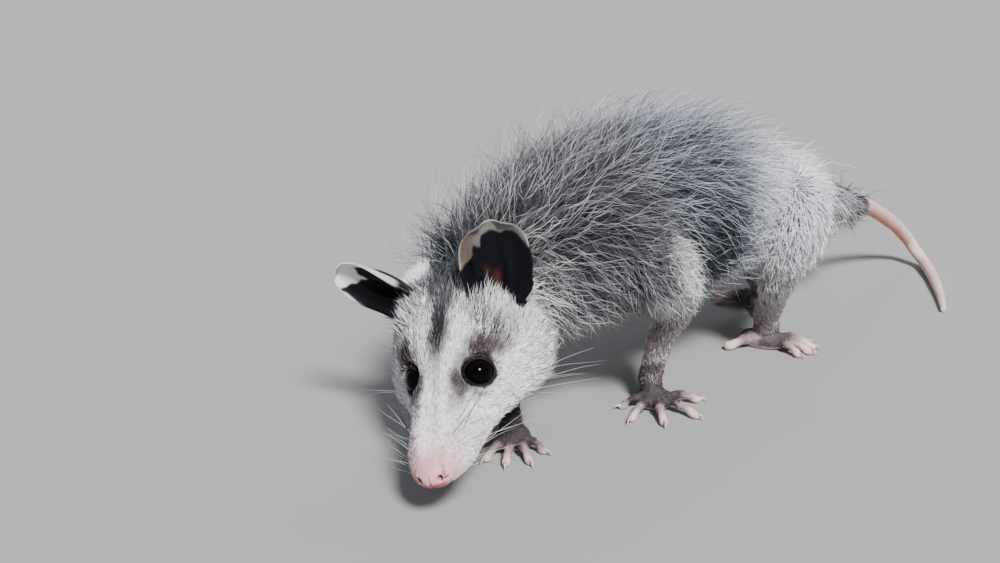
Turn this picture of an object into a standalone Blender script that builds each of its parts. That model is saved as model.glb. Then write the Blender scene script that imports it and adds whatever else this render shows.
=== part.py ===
"""Virginia opossum, young adult, walking, as a still life-size model.

The animal is laid out in a body frame in design millimetres (forward, left,
up), measured from a point on the floor midway between shoulders and hips.
GROWTH turns design millimetres into life size.  The head points towards -X,
the animal's left side faces -Y, and the floor is z = 0.

Every solid is the outline of the animal out to the tips of its coat.
"""
import bpy
import bmesh
import numpy as np
from math import radians, sin, cos, pi
from mathutils import Vector, Matrix

# ------------------------------------------------------------ driving sizes
GROWTH = 1.08            # life size over design size: head and body 0.41 m
ORIGIN_X = -0.03123          # puts the middle of the outline over the origin
ORIGIN_Y = 0.00712
GAP = 0.34               # clearance between neighbouring pieces, design mm

TRUNK_SIDES = 24         # facets round the trunk and the head
LIMB_SIDES = 11
TAIL_SIDES = 9

EYE_RADIUS = 7.3
EYE_CENTRE = (52.0, 12.9, 10.0)       # head frame: forward, left, up
NOSE_CENTRE = (100.8, 0.0, 0.6)
NOSE_RADII = (5.2, 6.6, 4.8)
EAR_HEIGHT = 39.5
EAR_WIDTH = 31.5
EAR_THICKNESS = 1.1
DIGIT_RADIUS = 2.3
CLAW_RADIUS = 0.75

# head frame: where the back of the skull sits, and how the head is turned
HEAD_ORIGIN = (121.2, -12.8, 58.9)
HEAD_YAW, HEAD_PITCH, HEAD_ROLL = 31.5, -21.0, 15.7

# stations of the trunk and neck, tail root to nape, over the coat:
# forward, left, up, yaw, pitch, roll, half-width, rise, fall, pear, power
TRUNK = [
    (-154, 13, 66.0, -6, 14, 0, 8.0, 8.0, 8.0, 0.00, 2.0),    # tail root
    (-146, 10, 68.0, -6, 12, 0, 15.0, 11.5, 15.0, 0.00, 2.0),
    (-134, 6, 70.5, -4, 10, 0, 26.0, 17.0, 24.0, 0.05, 2.0),  # rump end
    (-118, 2, 73.5, 0, 8, 0, 36.0, 22.0, 33.0, 0.10, 2.1),    # rump
    (-98, 0, 77.0, 0, 5, 0, 43.0, 28.0, 39.0, 0.12, 2.2),     # croup
    (-74, 0, 80.0, 0, 3, 0, 47.0, 33.0, 40.0, 0.14, 2.2),     # hips
    (-42, 0, 84.0, 0, 0, 0, 48.0, 41.0, 42.0, 0.16, 2.2),     # loin
    (-8, 0, 87.0, 0, 0, 0, 49.0, 49.0, 45.0, 0.18, 2.2),      # belly
    (25, 0, 88.0, 0, 0, 0, 47.0, 53.0, 47.0, 0.18, 2.2),      # ribs
    (52, 0, 87.0, 0, -3, 0, 43.0, 53.0, 47.0, 0.12, 2.1),     # shoulders
    (75, -1, 84.0, 4, -9, 2, 39.0, 48.0, 43.0, 0.05, 2.1),    # withers
    (93, -4, 78.0, 11, -16, 6, 35.5, 42.0, 38.0, 0.00, 2.0),  # neck base
    (107, -8, 70.5, 21, -20, 11, 34.0, 39.0, 34.0, 0.00, 2.0),
]
# stations of the head along its own axis, over the coat:
# along, half-width, top, bottom, height of the widest line, power, pear
HEAD = [
    (-2, 35.0, 36.0, -27.0, 3.0, 2.00, 0.00),      # nape
    (10, 37.5, 37.0, -27.0, 1.0, 2.05, 0.04),
    (22, 39.5, 37.0, -26.0, -1.0, 2.10, 0.08),     # ears
    (33, 38.0, 35.0, -24.0, -2.5, 2.10, 0.12),     # cheeks
    (44, 33.0, 31.5, -21.0, -3.0, 2.10, 0.18),
    (54, 26.2, 27.0, -18.0, -2.5, 2.10, 0.20),     # eyes
    (64, 21.2, 21.5, -16.0, -2.0, 2.10, 0.16),
    (74, 18.1, 17.2, -14.3, -1.8, 2.10, 0.12),
    (83, 15.9, 13.8, -13.2, -1.8, 2.20, 0.08),     # muzzle
    (91, 13.7, 10.8, -11.8, -1.5, 2.25, 0.05),
    (98, 10.6, 8.0, -8.6, -0.6, 2.20, 0.00),
    (103.6, 6.5, 4.8, -4.8, 0.0, 2.00, 0.00),
]
# tail: forward, left, up, radius
TAIL = [
    (-155.2, 13.2, 65.4, 7.0), (-161, 13.9, 63.9, 6.1), (-168, 14.1, 61.8, 5.6),
    (-182, 13.0, 57.4, 5.3), (-209, 9.0, 47.8, 4.9), (-232, 7.4, 36.7, 4.6),
    (-251, 8.0, 25.0, 4.3), (-261, 11.8, 14.2, 4.0), (-259.5, 20.5, 6.6, 3.8),
    (-245.8, 33.2, 4.0, 3.65), (-226.5, 47.0, 3.2, 3.35), (-207.6, 59.2, 2.55, 2.75),
    (-187.5, 70.9, 1.65, 1.95),
]
TAIL_LENGTHS = ((0.0, 0.075), (0.075, 0.38), (0.38, 0.70), (0.70, 1.0))
# legs, from inside the trunk to the wrist or ankle:
# forward, left, up, radius across, radius fore-and-aft
LEGS = {
    "foreleg_left": [
        (70, 14, 96, 13, 17), (60, 35, 84, 15, 20), (47, 41, 69, 12.5, 16),
        (40, 38, 56, 10.5, 12.5), (38, 32, 43, 8.6, 9), (37, 27, 31, 7.2, 7.4),
        (38, 25, 21, 6.2, 6.2), (39, 24, 14, 6.2, 6.0)],
    "foreleg_right": [
        (76, -12, 94, 13, 17), (80, -31, 80, 14.5, 20), (86, -36, 62, 12, 15),
        (90, -33, 46, 10.5, 12), (98, -23, 33, 9, 9.5), (107, -12, 23, 7.4, 7.4),
        (113, -5, 17, 6.4, 6.4), (117, 0, 13, 6.3, 6.0)],
    "hindleg_left": [
        (-84, 14, 84, 16, 20), (-74, 35, 80, 18, 26), (-52, 42, 63, 15.5, 19),
        (-50, 40, 50, 12, 14), (-58, 33, 37, 9, 10.5), (-65, 27, 25, 8, 8.5),
        (-68, 23, 16, 7.6, 8), (-69, 23, 11, 7.4, 8)],
    "hindleg_right": [
        (-88, -14, 84, 16, 20), (-82, -35, 79, 18, 26), (-84, -38, 65, 15.5, 19),
        (-95, -33, 51, 12, 14), (-107, -25, 37, 9, 10.5), (-116, -17, 25, 8, 8.5),
        (-120, -13, 16, 7.6, 8), (-121, -12, 11, 7.4, 8)],
}
# feet: wrist or ankle, middle of the sole, sole half-length, sole half-width,
# heading of the sole, then the digits as (heading, start, reach, radius, claw)
FEET = {
    "forefoot_left": dict(
        joint=(39, 24, 14), sole=(40.5, 28), half=(10.5, 8.5), heading=70,
        digits=((-32, 5, 18, 1.9, 1), (10, 6, 25, 2.2, 1), (48, 6, 26, 2.3, 1),
                (92, 6, 26, 2.3, 1), (142, 6, 24, 2.1, 1))),
    "forefoot_right": dict(
        joint=(117, 0, 13), sole=(122, 8), half=(10.5, 8.5), heading=38,
        digits=((98, 5, 18, 1.9, 1), (62, 6, 23, 2.2, 1), (34, 6, 24, 2.3, 1),
                (8, 6, 23, 2.3, 1), (-26, 6, 20, 2.1, 1))),
    "hindfoot_left": dict(
        joint=(-69, 23, 11), sole=(-68.5, 23), half=(14.5, 8.5), heading=108,
        digits=((-30, 4, 24, 2.9, 0), (82, 9, 25, 2.2, 1), (100, 10, 27, 2.3, 1),
                (118, 10, 27, 2.3, 1), (138, 9, 24, 2.2, 1))),
    "hindfoot_right": dict(
        joint=(-121, -12, 11), sole=(-121.5, -15), half=(14.5, 8.5), heading=-80,
        digits=((30, 4, 21, 2.9, 0), (-62, 9, 26, 2.2, 1), (-80, 10, 28, 2.3, 1),
                (-98, 10, 28, 2.3, 1), (-118, 9, 25, 2.2, 1))),
}
# ears: base, direction of the height, direction the cup opens to (head frame)
EARS = {
    "ear_left": dict(base=(22, 22.5, 25), rise=(-0.34, 0.10, 0.93),
                     opens=(0.84, 0.48, 0.22), slim=1.0),
    "ear_right": dict(base=(17.0, -23.0, 29.2), rise=(-0.33, -0.865, 0.38),
                      opens=(0.88, -0.36, 0.20), slim=0.72),
}

COATS = {
    "head": (0.80, 0.79, 0.77), "lower_jaw": (0.78, 0.76, 0.74),
    "neck": (0.42, 0.42, 0.44), "trunk": (0.36, 0.37, 0.39),
    "leg": (0.16, 0.14, 0.14), "foot": (0.20, 0.15, 0.15),
    "tail": (0.74, 0.56, 0.52), "tail_base": (0.24, 0.23, 0.24),
    "ear": (0.03, 0.03, 0.035), "eye": (0.008, 0.007, 0.008),
    "nose": (0.72, 0.42, 0.42),
}


# ------------------------------------------------------------ small helpers
def clean_scene():
    for ob in list(bpy.data.objects):
        bpy.data.objects.remove(ob, do_unlink=True)
    for group in (bpy.data.meshes, bpy.data.materials, bpy.data.curves):
        for item in list(group):
            group.remove(item)
    for col in list(bpy.data.collections):
        bpy.data.collections.remove(col)


def collection(name):
    col = bpy.data.collections.new(name)
    bpy.context.scene.collection.children.link(col)
    return col


def coat(name, colour, rough=0.75):
    mat = bpy.data.materials.new(name)
    mat.use_nodes = True
    bsdf = mat.node_tree.nodes["Principled BSDF"]
    bsdf.inputs["Base Color"].default_value = (*colour, 1.0)
    bsdf.inputs["Roughness"].default_value = rough
    bsdf.inputs["Metallic"].default_value = 0.0
    return mat


def place(points):
    """Body frame in design millimetres to the model's frame in metres."""
    p = np.atleast_2d(np.asarray(points, float)) * (GROWTH * 0.001)
    return np.c_[ORIGIN_X - p[:, 0], ORIGIN_Y - p[:, 1], p[:, 2]]


def smooth_rows(knots, rows, at):
    """Cubic through the rows that never overshoots between two stations."""
    knots = np.asarray(knots, float)
    rows = np.asarray(rows, float)
    span = np.diff(knots)
    slope = np.diff(rows, axis=0) / span[:, None]
    tangent = np.zeros_like(rows)
    tangent[0], tangent[-1] = slope[0], slope[-1]
    for i in range(1, len(knots) - 1):
        w = span[i] / (span[i - 1] + span[i])
        mix = w * slope[i - 1] + (1 - w) * slope[i]
        cap = 3 * np.minimum(np.abs(slope[i - 1]), np.abs(slope[i]))
        same = slope[i - 1] * slope[i] > 0
        tangent[i] = np.where(same, np.sign(mix) * np.minimum(np.abs(mix), cap), 0)
    at = np.atleast_1d(np.asarray(at, float))
    k = np.clip(np.searchsorted(knots, at, side="right") - 1, 0, len(knots) - 2)
    u = ((at - knots[k]) / span[k])[:, None]
    h = span[k][:, None]
    return ((2 * u**3 - 3 * u**2 + 1) * rows[k] + (u**3 - 2 * u**2 + u) * h * tangent[k]
            + (-2 * u**3 + 3 * u**2) * rows[k + 1] + (u**3 - u**2) * h * tangent[k + 1])


def axes(yaw, pitch, roll):
    y, p, r = radians(yaw), radians(pitch), radians(roll)
    fwd = np.array([cos(p) * cos(y), cos(p) * sin(y), sin(p)])
    left = np.array([-sin(y), cos(y), 0.0])
    up = np.array([-sin(p) * cos(y), -sin(p) * sin(y), cos(p)])
    return fwd, cos(r) * left + sin(r) * up, -sin(r) * left + cos(r) * up


def head_point(p):
    fwd, left, up = axes(HEAD_YAW, HEAD_PITCH, HEAD_ROLL)
    p = np.atleast_2d(np.asarray(p, float))
    return np.array(HEAD_ORIGIN) + p[:, :1] * fwd + p[:, 1:2] * left + p[:, 2:3] * up


def head_dir(v):
    fwd, left, up = axes(HEAD_YAW, HEAD_PITCH, HEAD_ROLL)
    d = v[0] * fwd + v[1] * left + v[2] * up
    return d / np.linalg.norm(d)


def mesh_object(name, verts, faces, col):
    me = bpy.data.meshes.new(name)
    me.from_pydata([tuple(v) for v in verts], [], faces)
    me.update()
    bm = bmesh.new()
    bm.from_mesh(me)
    bmesh.ops.recalc_face_normals(bm, faces=bm.faces)
    if bm.calc_volume(signed=True) < 0:
        bmesh.ops.reverse_faces(bm, faces=bm.faces)
    bm.to_mesh(me)
    bm.free()
    ob = bpy.data.objects.new(name, me)
    col.objects.link(ob)
    return ob


def loft(name, rings, col):
    """Closed loft through rings of equal count, with a fan at each end."""
    n = len(rings[0])
    verts = [v for ring in rings for v in ring]
    faces = []
    for i in range(len(rings) - 1):
        for j in range(n):
            k = (j + 1) % n
            faces.append((i * n + j, i * n + k, (i + 1) * n + k, (i + 1) * n + j))
    verts += [np.mean(rings[0], axis=0), np.mean(rings[-1], axis=0)]
    a, b, last = len(verts) - 2, len(verts) - 1, (len(rings) - 1) * n
    for j in range(n):
        k = (j + 1) % n
        faces.append((a, k, j))
        faces.append((b, last + j, last + k))
    return mesh_object(name, place(verts), faces, col)


def settle(ob):
    """Replace an object's mesh with its evaluated one, without modifiers."""
    bpy.context.view_layer.update()
    dg = bpy.context.evaluated_depsgraph_get()
    me = bpy.data.meshes.new_from_object(ob.evaluated_get(dg))
    ob.modifiers.clear()
    old, ob.data = ob.data, me
    bpy.data.meshes.remove(old)
    return ob


def largest_only(ob):
    """Keep the biggest connected shell, drop crumbs that a cut left."""
    bm = bmesh.new()
    bm.from_mesh(ob.data)
    left, best = set(bm.verts), []
    while left:
        seed = next(iter(left))
        shell, stack = {seed}, [seed]
        while stack:
            for e in stack.pop().link_edges:
                for v in e.verts:
                    if v not in shell:
                        shell.add(v)
                        stack.append(v)
        left -= shell
        if len(shell) > len(best):
            best = shell
    drop = [v for v in bm.verts if v not in best]
    if drop:
        bmesh.ops.delete(bm, geom=drop, context="VERTS")
    bmesh.ops.remove_doubles(bm, verts=bm.verts, dist=2e-6)
    bmesh.ops.dissolve_degenerate(bm, edges=bm.edges, dist=2e-6)
    bm.to_mesh(ob.data)
    bm.free()
    return ob


def combine(ob, tool, operation):
    mod = ob.modifiers.new(operation.lower(), "BOOLEAN")
    mod.operation, mod.solver, mod.object = operation, "EXACT", tool
    return settle(ob)


def floor_cut(ob, guides):
    """Flat soles: everything below the floor is cut away."""
    bpy.ops.mesh.primitive_cube_add(size=1.0, location=(0, 0, -0.05))
    box = bpy.context.object
    box.name = "floor_cutter"
    box.scale = (1.2, 0.8, 0.1)
    bpy.ops.object.transform_apply(location=False, rotation=False, scale=True)
    as_guide(box, guides)
    combine(ob, box, "DIFFERENCE")
    bpy.data.objects.remove(box, do_unlink=True)
    return largest_only(ob)


def as_guide(ob, guides):
    for c in list(ob.users_collection):
        c.objects.unlink(ob)
    guides.objects.link(ob)
    ob.hide_render = True
    ob.display_type = "WIRE"
    return ob


# ------------------------------------------------------------ trunk and head
def spine():
    rows = [list(r) for r in TRUNK]
    for along, half, top, bottom, mid, power, pear in HEAD:
        c = head_point((along, 0, mid))[0]
        rows.append([*c, HEAD_YAW, HEAD_PITCH, HEAD_ROLL, half,
                     top - mid, mid - bottom, pear, power])
    rows = np.array(rows, float)
    steps = np.linalg.norm(np.diff(rows[:, :3], axis=0), axis=1)
    return np.r_[0, np.cumsum(steps)], rows


def spine_rings(start, end, step, sides, grow=0.0):
    knots, rows = spine()
    count = max(2, int(round((end - start) / step)) + 1)
    rings = []
    turn = np.arange(sides) * 2 * pi / sides
    c, s = np.cos(turn), np.sin(turn)
    for q in smooth_rows(knots, rows, np.linspace(start, end, count)):
        fwd, left, up = axes(q[3], q[4], q[5])
        x = np.sign(c) * np.abs(c) ** (2 / q[10]) * (1 - q[9] * s) * (q[6] + grow)
        z = np.sign(s) * np.abs(s) ** (2 / q[10])
        z = np.where(s >= 0, z * (q[7] + grow), z * (q[8] + grow))
        rings.append(q[:3] + x[:, None] * left + z[:, None] * up)
    return rings


def tube_rings(rows, step, sides, start=0.0, end=1.0, grow=0.0, across=(0, 1, 0)):
    rows = np.array(rows, float)
    if rows.shape[1] == 4:
        rows = np.c_[rows, rows[:, 3]]
    knots = np.r_[0, np.cumsum(np.linalg.norm(np.diff(rows[:, :3], axis=0), axis=1))]
    a, b = start * knots[-1], end * knots[-1]
    count = max(2, int(round((b - a) / step)) + 1)
    at = np.linspace(a, b, count)
    q = smooth_rows(knots, rows, at)
    eps = 0.5
    ahead = smooth_rows(knots, rows, np.clip(at + eps, 0, knots[-1]))[:, :3]
    back = smooth_rows(knots, rows, np.clip(at - eps, 0, knots[-1]))[:, :3]
    way = ahead - back
    way /= np.linalg.norm(way, axis=1)[:, None]
    turn = np.arange(sides) * 2 * pi / sides
    ref, rings = np.array(across, float), []
    for row, t in zip(q, way):
        u = ref - t * (ref @ t)
        u /= np.linalg.norm(u)
        v = np.cross(t, u)
        ref = u
        rings.append(row[:3] + np.cos(turn)[:, None] * u * (row[3] + grow)
                     + np.sin(turn)[:, None] * v * (row[4] + grow))
    return rings, way


def extended(rings, way, by):
    """The same tube with its two ends pushed out along the axis."""
    return [rings[0] - way[0] * by] + rings[1:-1] + [rings[-1] + way[-1] * by]


# ------------------------------------------------------------ feet
def foot(name, spec, leg_rows, col, guides):
    """Sole, wrist and digits melted into one soft body."""
    sole_l, sole_w = spec["half"]
    h = radians(spec["heading"])
    fwd = np.array([cos(h), sin(h), 0.0])
    side = np.array([-sin(h), cos(h), 0.0])
    mid = np.array([*spec["sole"], 0.0])
    shapes = []
    # sole: a flattened egg, wider towards the digits
    rings = []
    for k in range(13):
        a = -pi / 2 + pi * k / 12
        r = max(cos(a), 0.04)
        along = sin(a) * sole_l
        wide = sole_w * r * (1 + 0.12 * sin(a))
        tall = (5.6 - 0.9 * sin(a)) * r
        turn = np.arange(14) * 2 * pi / 14
        rings.append(mid + fwd * along + np.array([0, 0, 4.0])
                     + np.cos(turn)[:, None] * side * wide
                     + np.sin(turn)[:, None] * np.array([0, 0, tall]))
    shapes.append(loft(name + "_sole", rings, guides))
    # wrist or ankle: the end of the leg carried down into the sole
    joint = np.array(spec["joint"], float)
    last, prev = np.array(leg_rows[-1][:3], float), np.array(leg_rows[-2][:3], float)
    rad = leg_rows[-1][3]
    down = mid + np.array([0, 0, 4.6]) - fwd * 1.0
    rows = [(*(prev), rad * 0.98), (*(last), rad * 0.98),
            (*(0.45 * last + 0.55 * down), rad * 0.98), (*down, rad * 0.72)]
    rings, _ = tube_rings(rows, 2.0, 14)
    shapes.append(loft(name + "_wrist", rings, guides))
    # digits
    for i, (head, start, reach, radius, claw) in enumerate(spec["digits"]):
        a = radians(head)
        d = np.array([cos(a), sin(a), 0.0])
        p = [mid + d * start * 0.3 + np.array([0, 0, 4.2]),
             mid + d * (start + 0.25 * (reach - start)) + np.array([0, 0, 5.2]),
             mid + d * (start + 0.62 * (reach - start)) + np.array([0, 0, 4.3]),
             mid + d * (reach - 2.5) + np.array([0, 0, radius * 0.80]),
             mid + d * (reach + 0.3) + np.array([0, 0, radius * 0.72])]
        r = [radius * 1.25, radius * 1.12, radius * 0.98, radius * 1.04, radius * 0.55]
        if claw:
            p.append(mid + d * (reach + 3.4) + np.array([0, 0, 1.0]))
            r.append(CLAW_RADIUS)
        rings, _ = tube_rings([(*a_, b_) for a_, b_ in zip(p, r)], 1.6, 10,
                              across=(-sin(a), cos(a), 0))
        shapes.append(loft(f"{name}_digit{i}", rings, guides))
    # one closed body
    bm = bmesh.new()
    for s in shapes:
        bm.from_mesh(s.data)
        bpy.data.objects.remove(s, do_unlink=True)
    me = bpy.data.meshes.new(name)
    bm.to_mesh(me)
    bm.free()
    ob = bpy.data.objects.new(name, me)
    col.objects.link(ob)
    melt = ob.modifiers.new("melt", "REMESH")
    melt.mode, melt.voxel_size, melt.adaptivity = "VOXEL", 0.00085, 0.0
    soft = ob.modifiers.new("soft", "SMOOTH")
    soft.factor, soft.iterations = 0.5, 3
    settle(ob)
    thin = ob.modifiers.new("thin", "DECIMATE")
    thin.ratio = min(1.0, FOOT_TRIANGLES / (2.0 * len(ob.data.polygons)))
    settle(ob)
    return ob


FOOT_TRIANGLES = 390


# ------------------------------------------------------------ ears
def ear(name, spec, col, guides, head_cutter):
    """A thin cup: rounded outline, deepest near its foot, rim turned out."""
    base = head_point(spec["base"])[0]
    rise = head_dir(spec["rise"])
    opens = head_dir(spec["opens"])
    opens = opens - rise * (opens @ rise)
    opens /= np.linalg.norm(opens)
    wide = np.cross(rise, opens)
    rows, cols = 7, 9
    verts, faces = [], []
    for i in range(rows + 1):
        v = i / rows
        height = (v - 0.10) * EAR_HEIGHT
        half = ear_half_width(v) * spec["slim"]
        for j in range(cols + 1):
            u = -1 + 2 * j / cols
            x = u * half
            # cup: sides come forward, the foot is deeper than the rim
            cup = (1 - 0.62 * v) * 9.0 * (u * u - 0.55) + 3.5 * v * v
            y = height - 2.5 * (u * u) * v * v * 0.6
            verts.append(base + wide * x + rise * y + opens * cup)
    n = cols + 1
    for i in range(rows):
        for j in range(cols):
            a = i * n + j
            faces.append((a, a + 1, a + n + 1, a + n))
    me = bpy.data.meshes.new(name)
    me.from_pydata([tuple(v) for v in place(verts)], [], faces)
    me.update()
    ob = bpy.data.objects.new(name, me)
    col.objects.link(ob)
    shell = ob.modifiers.new("shell", "SOLIDIFY")
    shell.thickness, shell.offset = EAR_THICKNESS * GROWTH * 0.001, 0.0
    settle(ob)
    bm = bmesh.new()
    bm.from_mesh(ob.data)
    bmesh.ops.recalc_face_normals(bm, faces=bm.faces)
    bm.to_mesh(ob.data)
    bm.free()
    combine(ob, head_cutter, "DIFFERENCE")
    return largest_only(ob)


def ear_half_width(v):
    """Half-width of the ear from its foot, v = 0, to its rounded top, v = 1."""
    knots = (0.0, 0.18, 0.42, 0.66, 0.84, 0.95, 1.0)
    halves = (0.30, 0.40, 0.49, 0.50, 0.435, 0.31, 0.19)
    return float(smooth_rows(knots, np.array(halves)[:, None], v)[0, 0]) * EAR_WIDTH


def ball(name, centre, radii, col, segments=20, rings=12, turn=None):
    """A UV sphere primitive stretched to an egg, in the body frame."""
    bpy.ops.mesh.primitive_uv_sphere_add(segments=segments, ring_count=rings, radius=1.0)
    ob = bpy.context.object
    ob.name = name
    for c in list(ob.users_collection):
        c.objects.unlink(ob)
    col.objects.link(ob)
    fwd, left, up = turn if turn else (np.eye(3)[0], np.eye(3)[1], np.eye(3)[2])
    pts = np.empty(len(ob.data.vertices) * 3)
    ob.data.vertices.foreach_get("co", pts)
    pts = pts.reshape(-1, 3)
    out = (np.asarray(centre, float) + pts[:, :1] * fwd * radii[0]
           + pts[:, 1:2] * left * radii[1] + pts[:, 2:3] * up * radii[2])
    ob.data.vertices.foreach_set("co", place(out).ravel())
    ob.data.update()
    bm = bmesh.new()
    bm.from_mesh(ob.data)
    if bm.calc_volume(signed=True) < 0:
        bmesh.ops.reverse_faces(bm, faces=bm.faces)
    bm.to_mesh(ob.data)
    bm.free()
    return ob


# ------------------------------------------------------------ the animal
def build():
    clean_scene()
    body = collection("opossum")
    guides = collection("cutters")
    mats = {k: coat("coat_" + k, v, 0.12 if k == "eye" else 0.75)
            for k, v in COATS.items()}
    made = {}

    knots, rows = spine()
    neck_end = knots[len(TRUNK)] + 3.0          # just behind the ears
    neck_start = knots[len(TRUNK) - 3] + 2.0

    trunk = loft("trunk", spine_rings(0, neck_start - GAP / 2, 8.6, TRUNK_SIDES), body)
    neck = loft("neck", spine_rings(neck_start + GAP / 2, neck_end - GAP / 2, 7.0,
                                    TRUNK_SIDES), body)
    head = loft("head", spine_rings(neck_end + GAP / 2, knots[-1], 5.4, TRUNK_SIDES), body)
    made.update(trunk=trunk, neck=neck)

    trunk_room = as_guide(loft("trunk_room", spine_rings(0, neck_end, 7.5, TRUNK_SIDES,
                                                         GAP * 1.15), guides), guides)
    head_room = as_guide(loft("head_room", spine_rings(neck_start, knots[-1], 5.2,
                                                       TRUNK_SIDES, GAP * 1.3), guides), guides)

    # ears stand on the head
    for name, spec in EARS.items():
        made[name] = ear(name, spec, body, guides, head_room)

    # nose pad at the tip of the muzzle
    turn = axes(HEAD_YAW, HEAD_PITCH, HEAD_ROLL)
    nose = ball("nose", head_point(NOSE_CENTRE)[0], NOSE_RADII, body, 14, 8, turn)
    nose_room = as_guide(ball("nose_room", head_point(NOSE_CENTRE)[0],
                              tuple(r + GAP for r in NOSE_RADII), guides, 14, 8, turn), guides)
    combine(head, nose_room, "DIFFERENCE")
    largest_only(head)

    # eyes in their sockets, open to the front
    for side, sign in (("left", 1), ("right", -1)):
        c = (EYE_CENTRE[0], EYE_CENTRE[1] * sign, EYE_CENTRE[2])
        eye = ball("eye_" + side, head_point(c)[0], (EYE_RADIUS,) * 3, body, 16, 10, turn)
        room = as_guide(ball("eye_room", head_point(c)[0], (EYE_RADIUS + GAP,) * 3,
                             guides, 16, 10, turn), guides)
        combine(head, room, "DIFFERENCE")
        # the coat parts round the eye: a short flaring opening
        look = head_dir((0.62, 0.55 * sign, 0.56))
        start = head_point(c)[0] + look * 2.0
        rings, _ = tube_rings([(*start, 6.6), (*(start + look * 14), 9.5)], 7.0, 14)
        flare = as_guide(loft("eye_flare", rings, guides), guides)
        combine(head, flare, "DIFFERENCE")
        largest_only(head)
        for t in (room, flare):
            bpy.data.objects.remove(t, do_unlink=True)
        made["eye_" + side] = eye

    # lower jaw: everything under the line of the mouth
    def prism(name, grow):
        line = [(40, -40), (46 - grow, -26), (57 - grow, -9.6 + grow), (75, -7.4 + grow),
                (88, -6.2 + grow), (94.5 + grow, -5.6 + grow), (95.5 + grow, -40)]
        rings = []
        for y in (-45.0, 45.0):
            rings.append(head_point([(x, y, z) for x, z in line]))
        return as_guide(loft(name, rings, guides), guides)

    jaw_zone, jaw_room = prism("jaw_zone", 0.0), prism("jaw_room", GAP)
    jaw = head.copy()
    jaw.data = head.data.copy()
    jaw.name = "lower_jaw"
    body.objects.link(jaw)
    combine(jaw, jaw_zone, "INTERSECT")
    largest_only(jaw)
    combine(head, jaw_room, "DIFFERENCE")
    largest_only(head)
    made.update(head=head, lower_jaw=jaw, nose=nose)

    # legs and feet
    for name, leg_rows in LEGS.items():
        rings, way = tube_rings(leg_rows, 8.0, LIMB_SIDES)
        leg = loft(name, rings, body)
        combine(leg, trunk_room, "DIFFERENCE")
        if name == "foreleg_right":         # passes close under the cheek
            combine(leg, head_room, "DIFFERENCE")
        largest_only(leg)
        made[name] = leg
        fat, fway = tube_rings(leg_rows, 8.0, LIMB_SIDES, grow=GAP)
        fat = extended(fat, fway, GAP)
        leg_room = as_guide(loft(name + "_room", fat, guides), guides)
        fname = name.replace("leg", "foot")
        paw = foot(fname, FEET[fname], leg_rows, body, guides)
        combine(paw, leg_room, "DIFFERENCE")
        largest_only(paw)
        made[fname] = floor_cut(paw, guides)
        bpy.data.objects.remove(leg_room, do_unlink=True)

    # tail in four lengths; the last ones lie on the floor
    rows_t = np.array(TAIL, float)
    length = np.sum(np.linalg.norm(np.diff(rows_t[:, :3], axis=0), axis=1))
    half_gap = 0.5 * GAP / length
    for i, (a, b) in enumerate(TAIL_LENGTHS):
        name = ("tail_base", "tail_upper", "tail_middle", "tail_tip")[i]
        a2 = a + (half_gap if i else 0.0)
        b2 = b - (half_gap if i < 3 else 0.0)
        rings, _ = tube_rings(TAIL, 5.6, TAIL_SIDES, a2, b2, across=(0, 0, 1))
        ob = loft(name, rings, body)
        if i >= 2:
            floor_cut(ob, guides)
        made[name] = ob

    for t in (trunk_room, head_room, nose_room, jaw_zone, jaw_room):
        bpy.data.objects.remove(t, do_unlink=True)

    # finishes
    for name, ob in made.items():
        key = name.split("_")[0]
        if name in ("lower_jaw", "tail_base"):
            key = name
        elif "foot" in name:
            key = "foot"
        elif "leg" in name:
            key = "leg"
        ob.data.materials.clear()
        ob.data.materials.append(mats[key])
        ob.data.shade_smooth()
        ob.data.set_sharp_from_angle(angle=radians(40))
        tri = sum(len(p.vertices) - 2 for p in ob.data.polygons)
        print("NODE", name, "triangles", tri)
    lo = np.min([np.min([ob.matrix_world @ v.co for v in ob.data.vertices], axis=0)
                 for ob in made.values()], axis=0)
    hi = np.max([np.max([ob.matrix_world @ v.co for v in ob.data.vertices], axis=0)
                 for ob in made.values()], axis=0)
    print("outline", lo, hi, "middle", (lo + hi) / 2)


build()
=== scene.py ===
"""Looks of the opossum: one skin, its eyes and claws, and a coat of mesh tufts.

Everything is laid out in the same body frame as the solids, in design
millimetres (forward, left, up), and placed in the row frame at the end.
"""
import bpy
import bmesh
import numpy as np
from math import radians, sin, cos, pi
from mathutils import Vector, Matrix


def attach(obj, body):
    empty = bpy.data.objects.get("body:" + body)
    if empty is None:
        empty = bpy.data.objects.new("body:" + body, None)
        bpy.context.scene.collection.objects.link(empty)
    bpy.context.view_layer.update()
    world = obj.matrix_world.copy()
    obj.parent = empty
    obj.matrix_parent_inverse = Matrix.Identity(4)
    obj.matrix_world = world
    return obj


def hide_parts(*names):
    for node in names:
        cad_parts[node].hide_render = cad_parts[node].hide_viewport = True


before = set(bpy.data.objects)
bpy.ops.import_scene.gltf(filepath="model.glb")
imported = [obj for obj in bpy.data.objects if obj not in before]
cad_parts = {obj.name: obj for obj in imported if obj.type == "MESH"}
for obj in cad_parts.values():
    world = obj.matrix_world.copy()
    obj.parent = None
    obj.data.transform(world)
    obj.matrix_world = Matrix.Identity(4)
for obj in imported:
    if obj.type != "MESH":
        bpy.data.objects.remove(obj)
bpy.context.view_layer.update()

# ------------------------------------------------------------ shared sizes
GROWTH = 1.08
ORIGIN_X, ORIGIN_Y = -0.03123, 0.00712
HEAD_ORIGIN = np.array((121.2, -12.8, 58.9))
HEAD_YAW, HEAD_PITCH, HEAD_ROLL = 31.5, -21.0, 15.7
EYE_CENTRE = (52.0, 12.9, 10.0)
EYE_RADIUS = 7.25
NOSE_CENTRE = (100.8, 0.0, 0.6)
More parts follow.
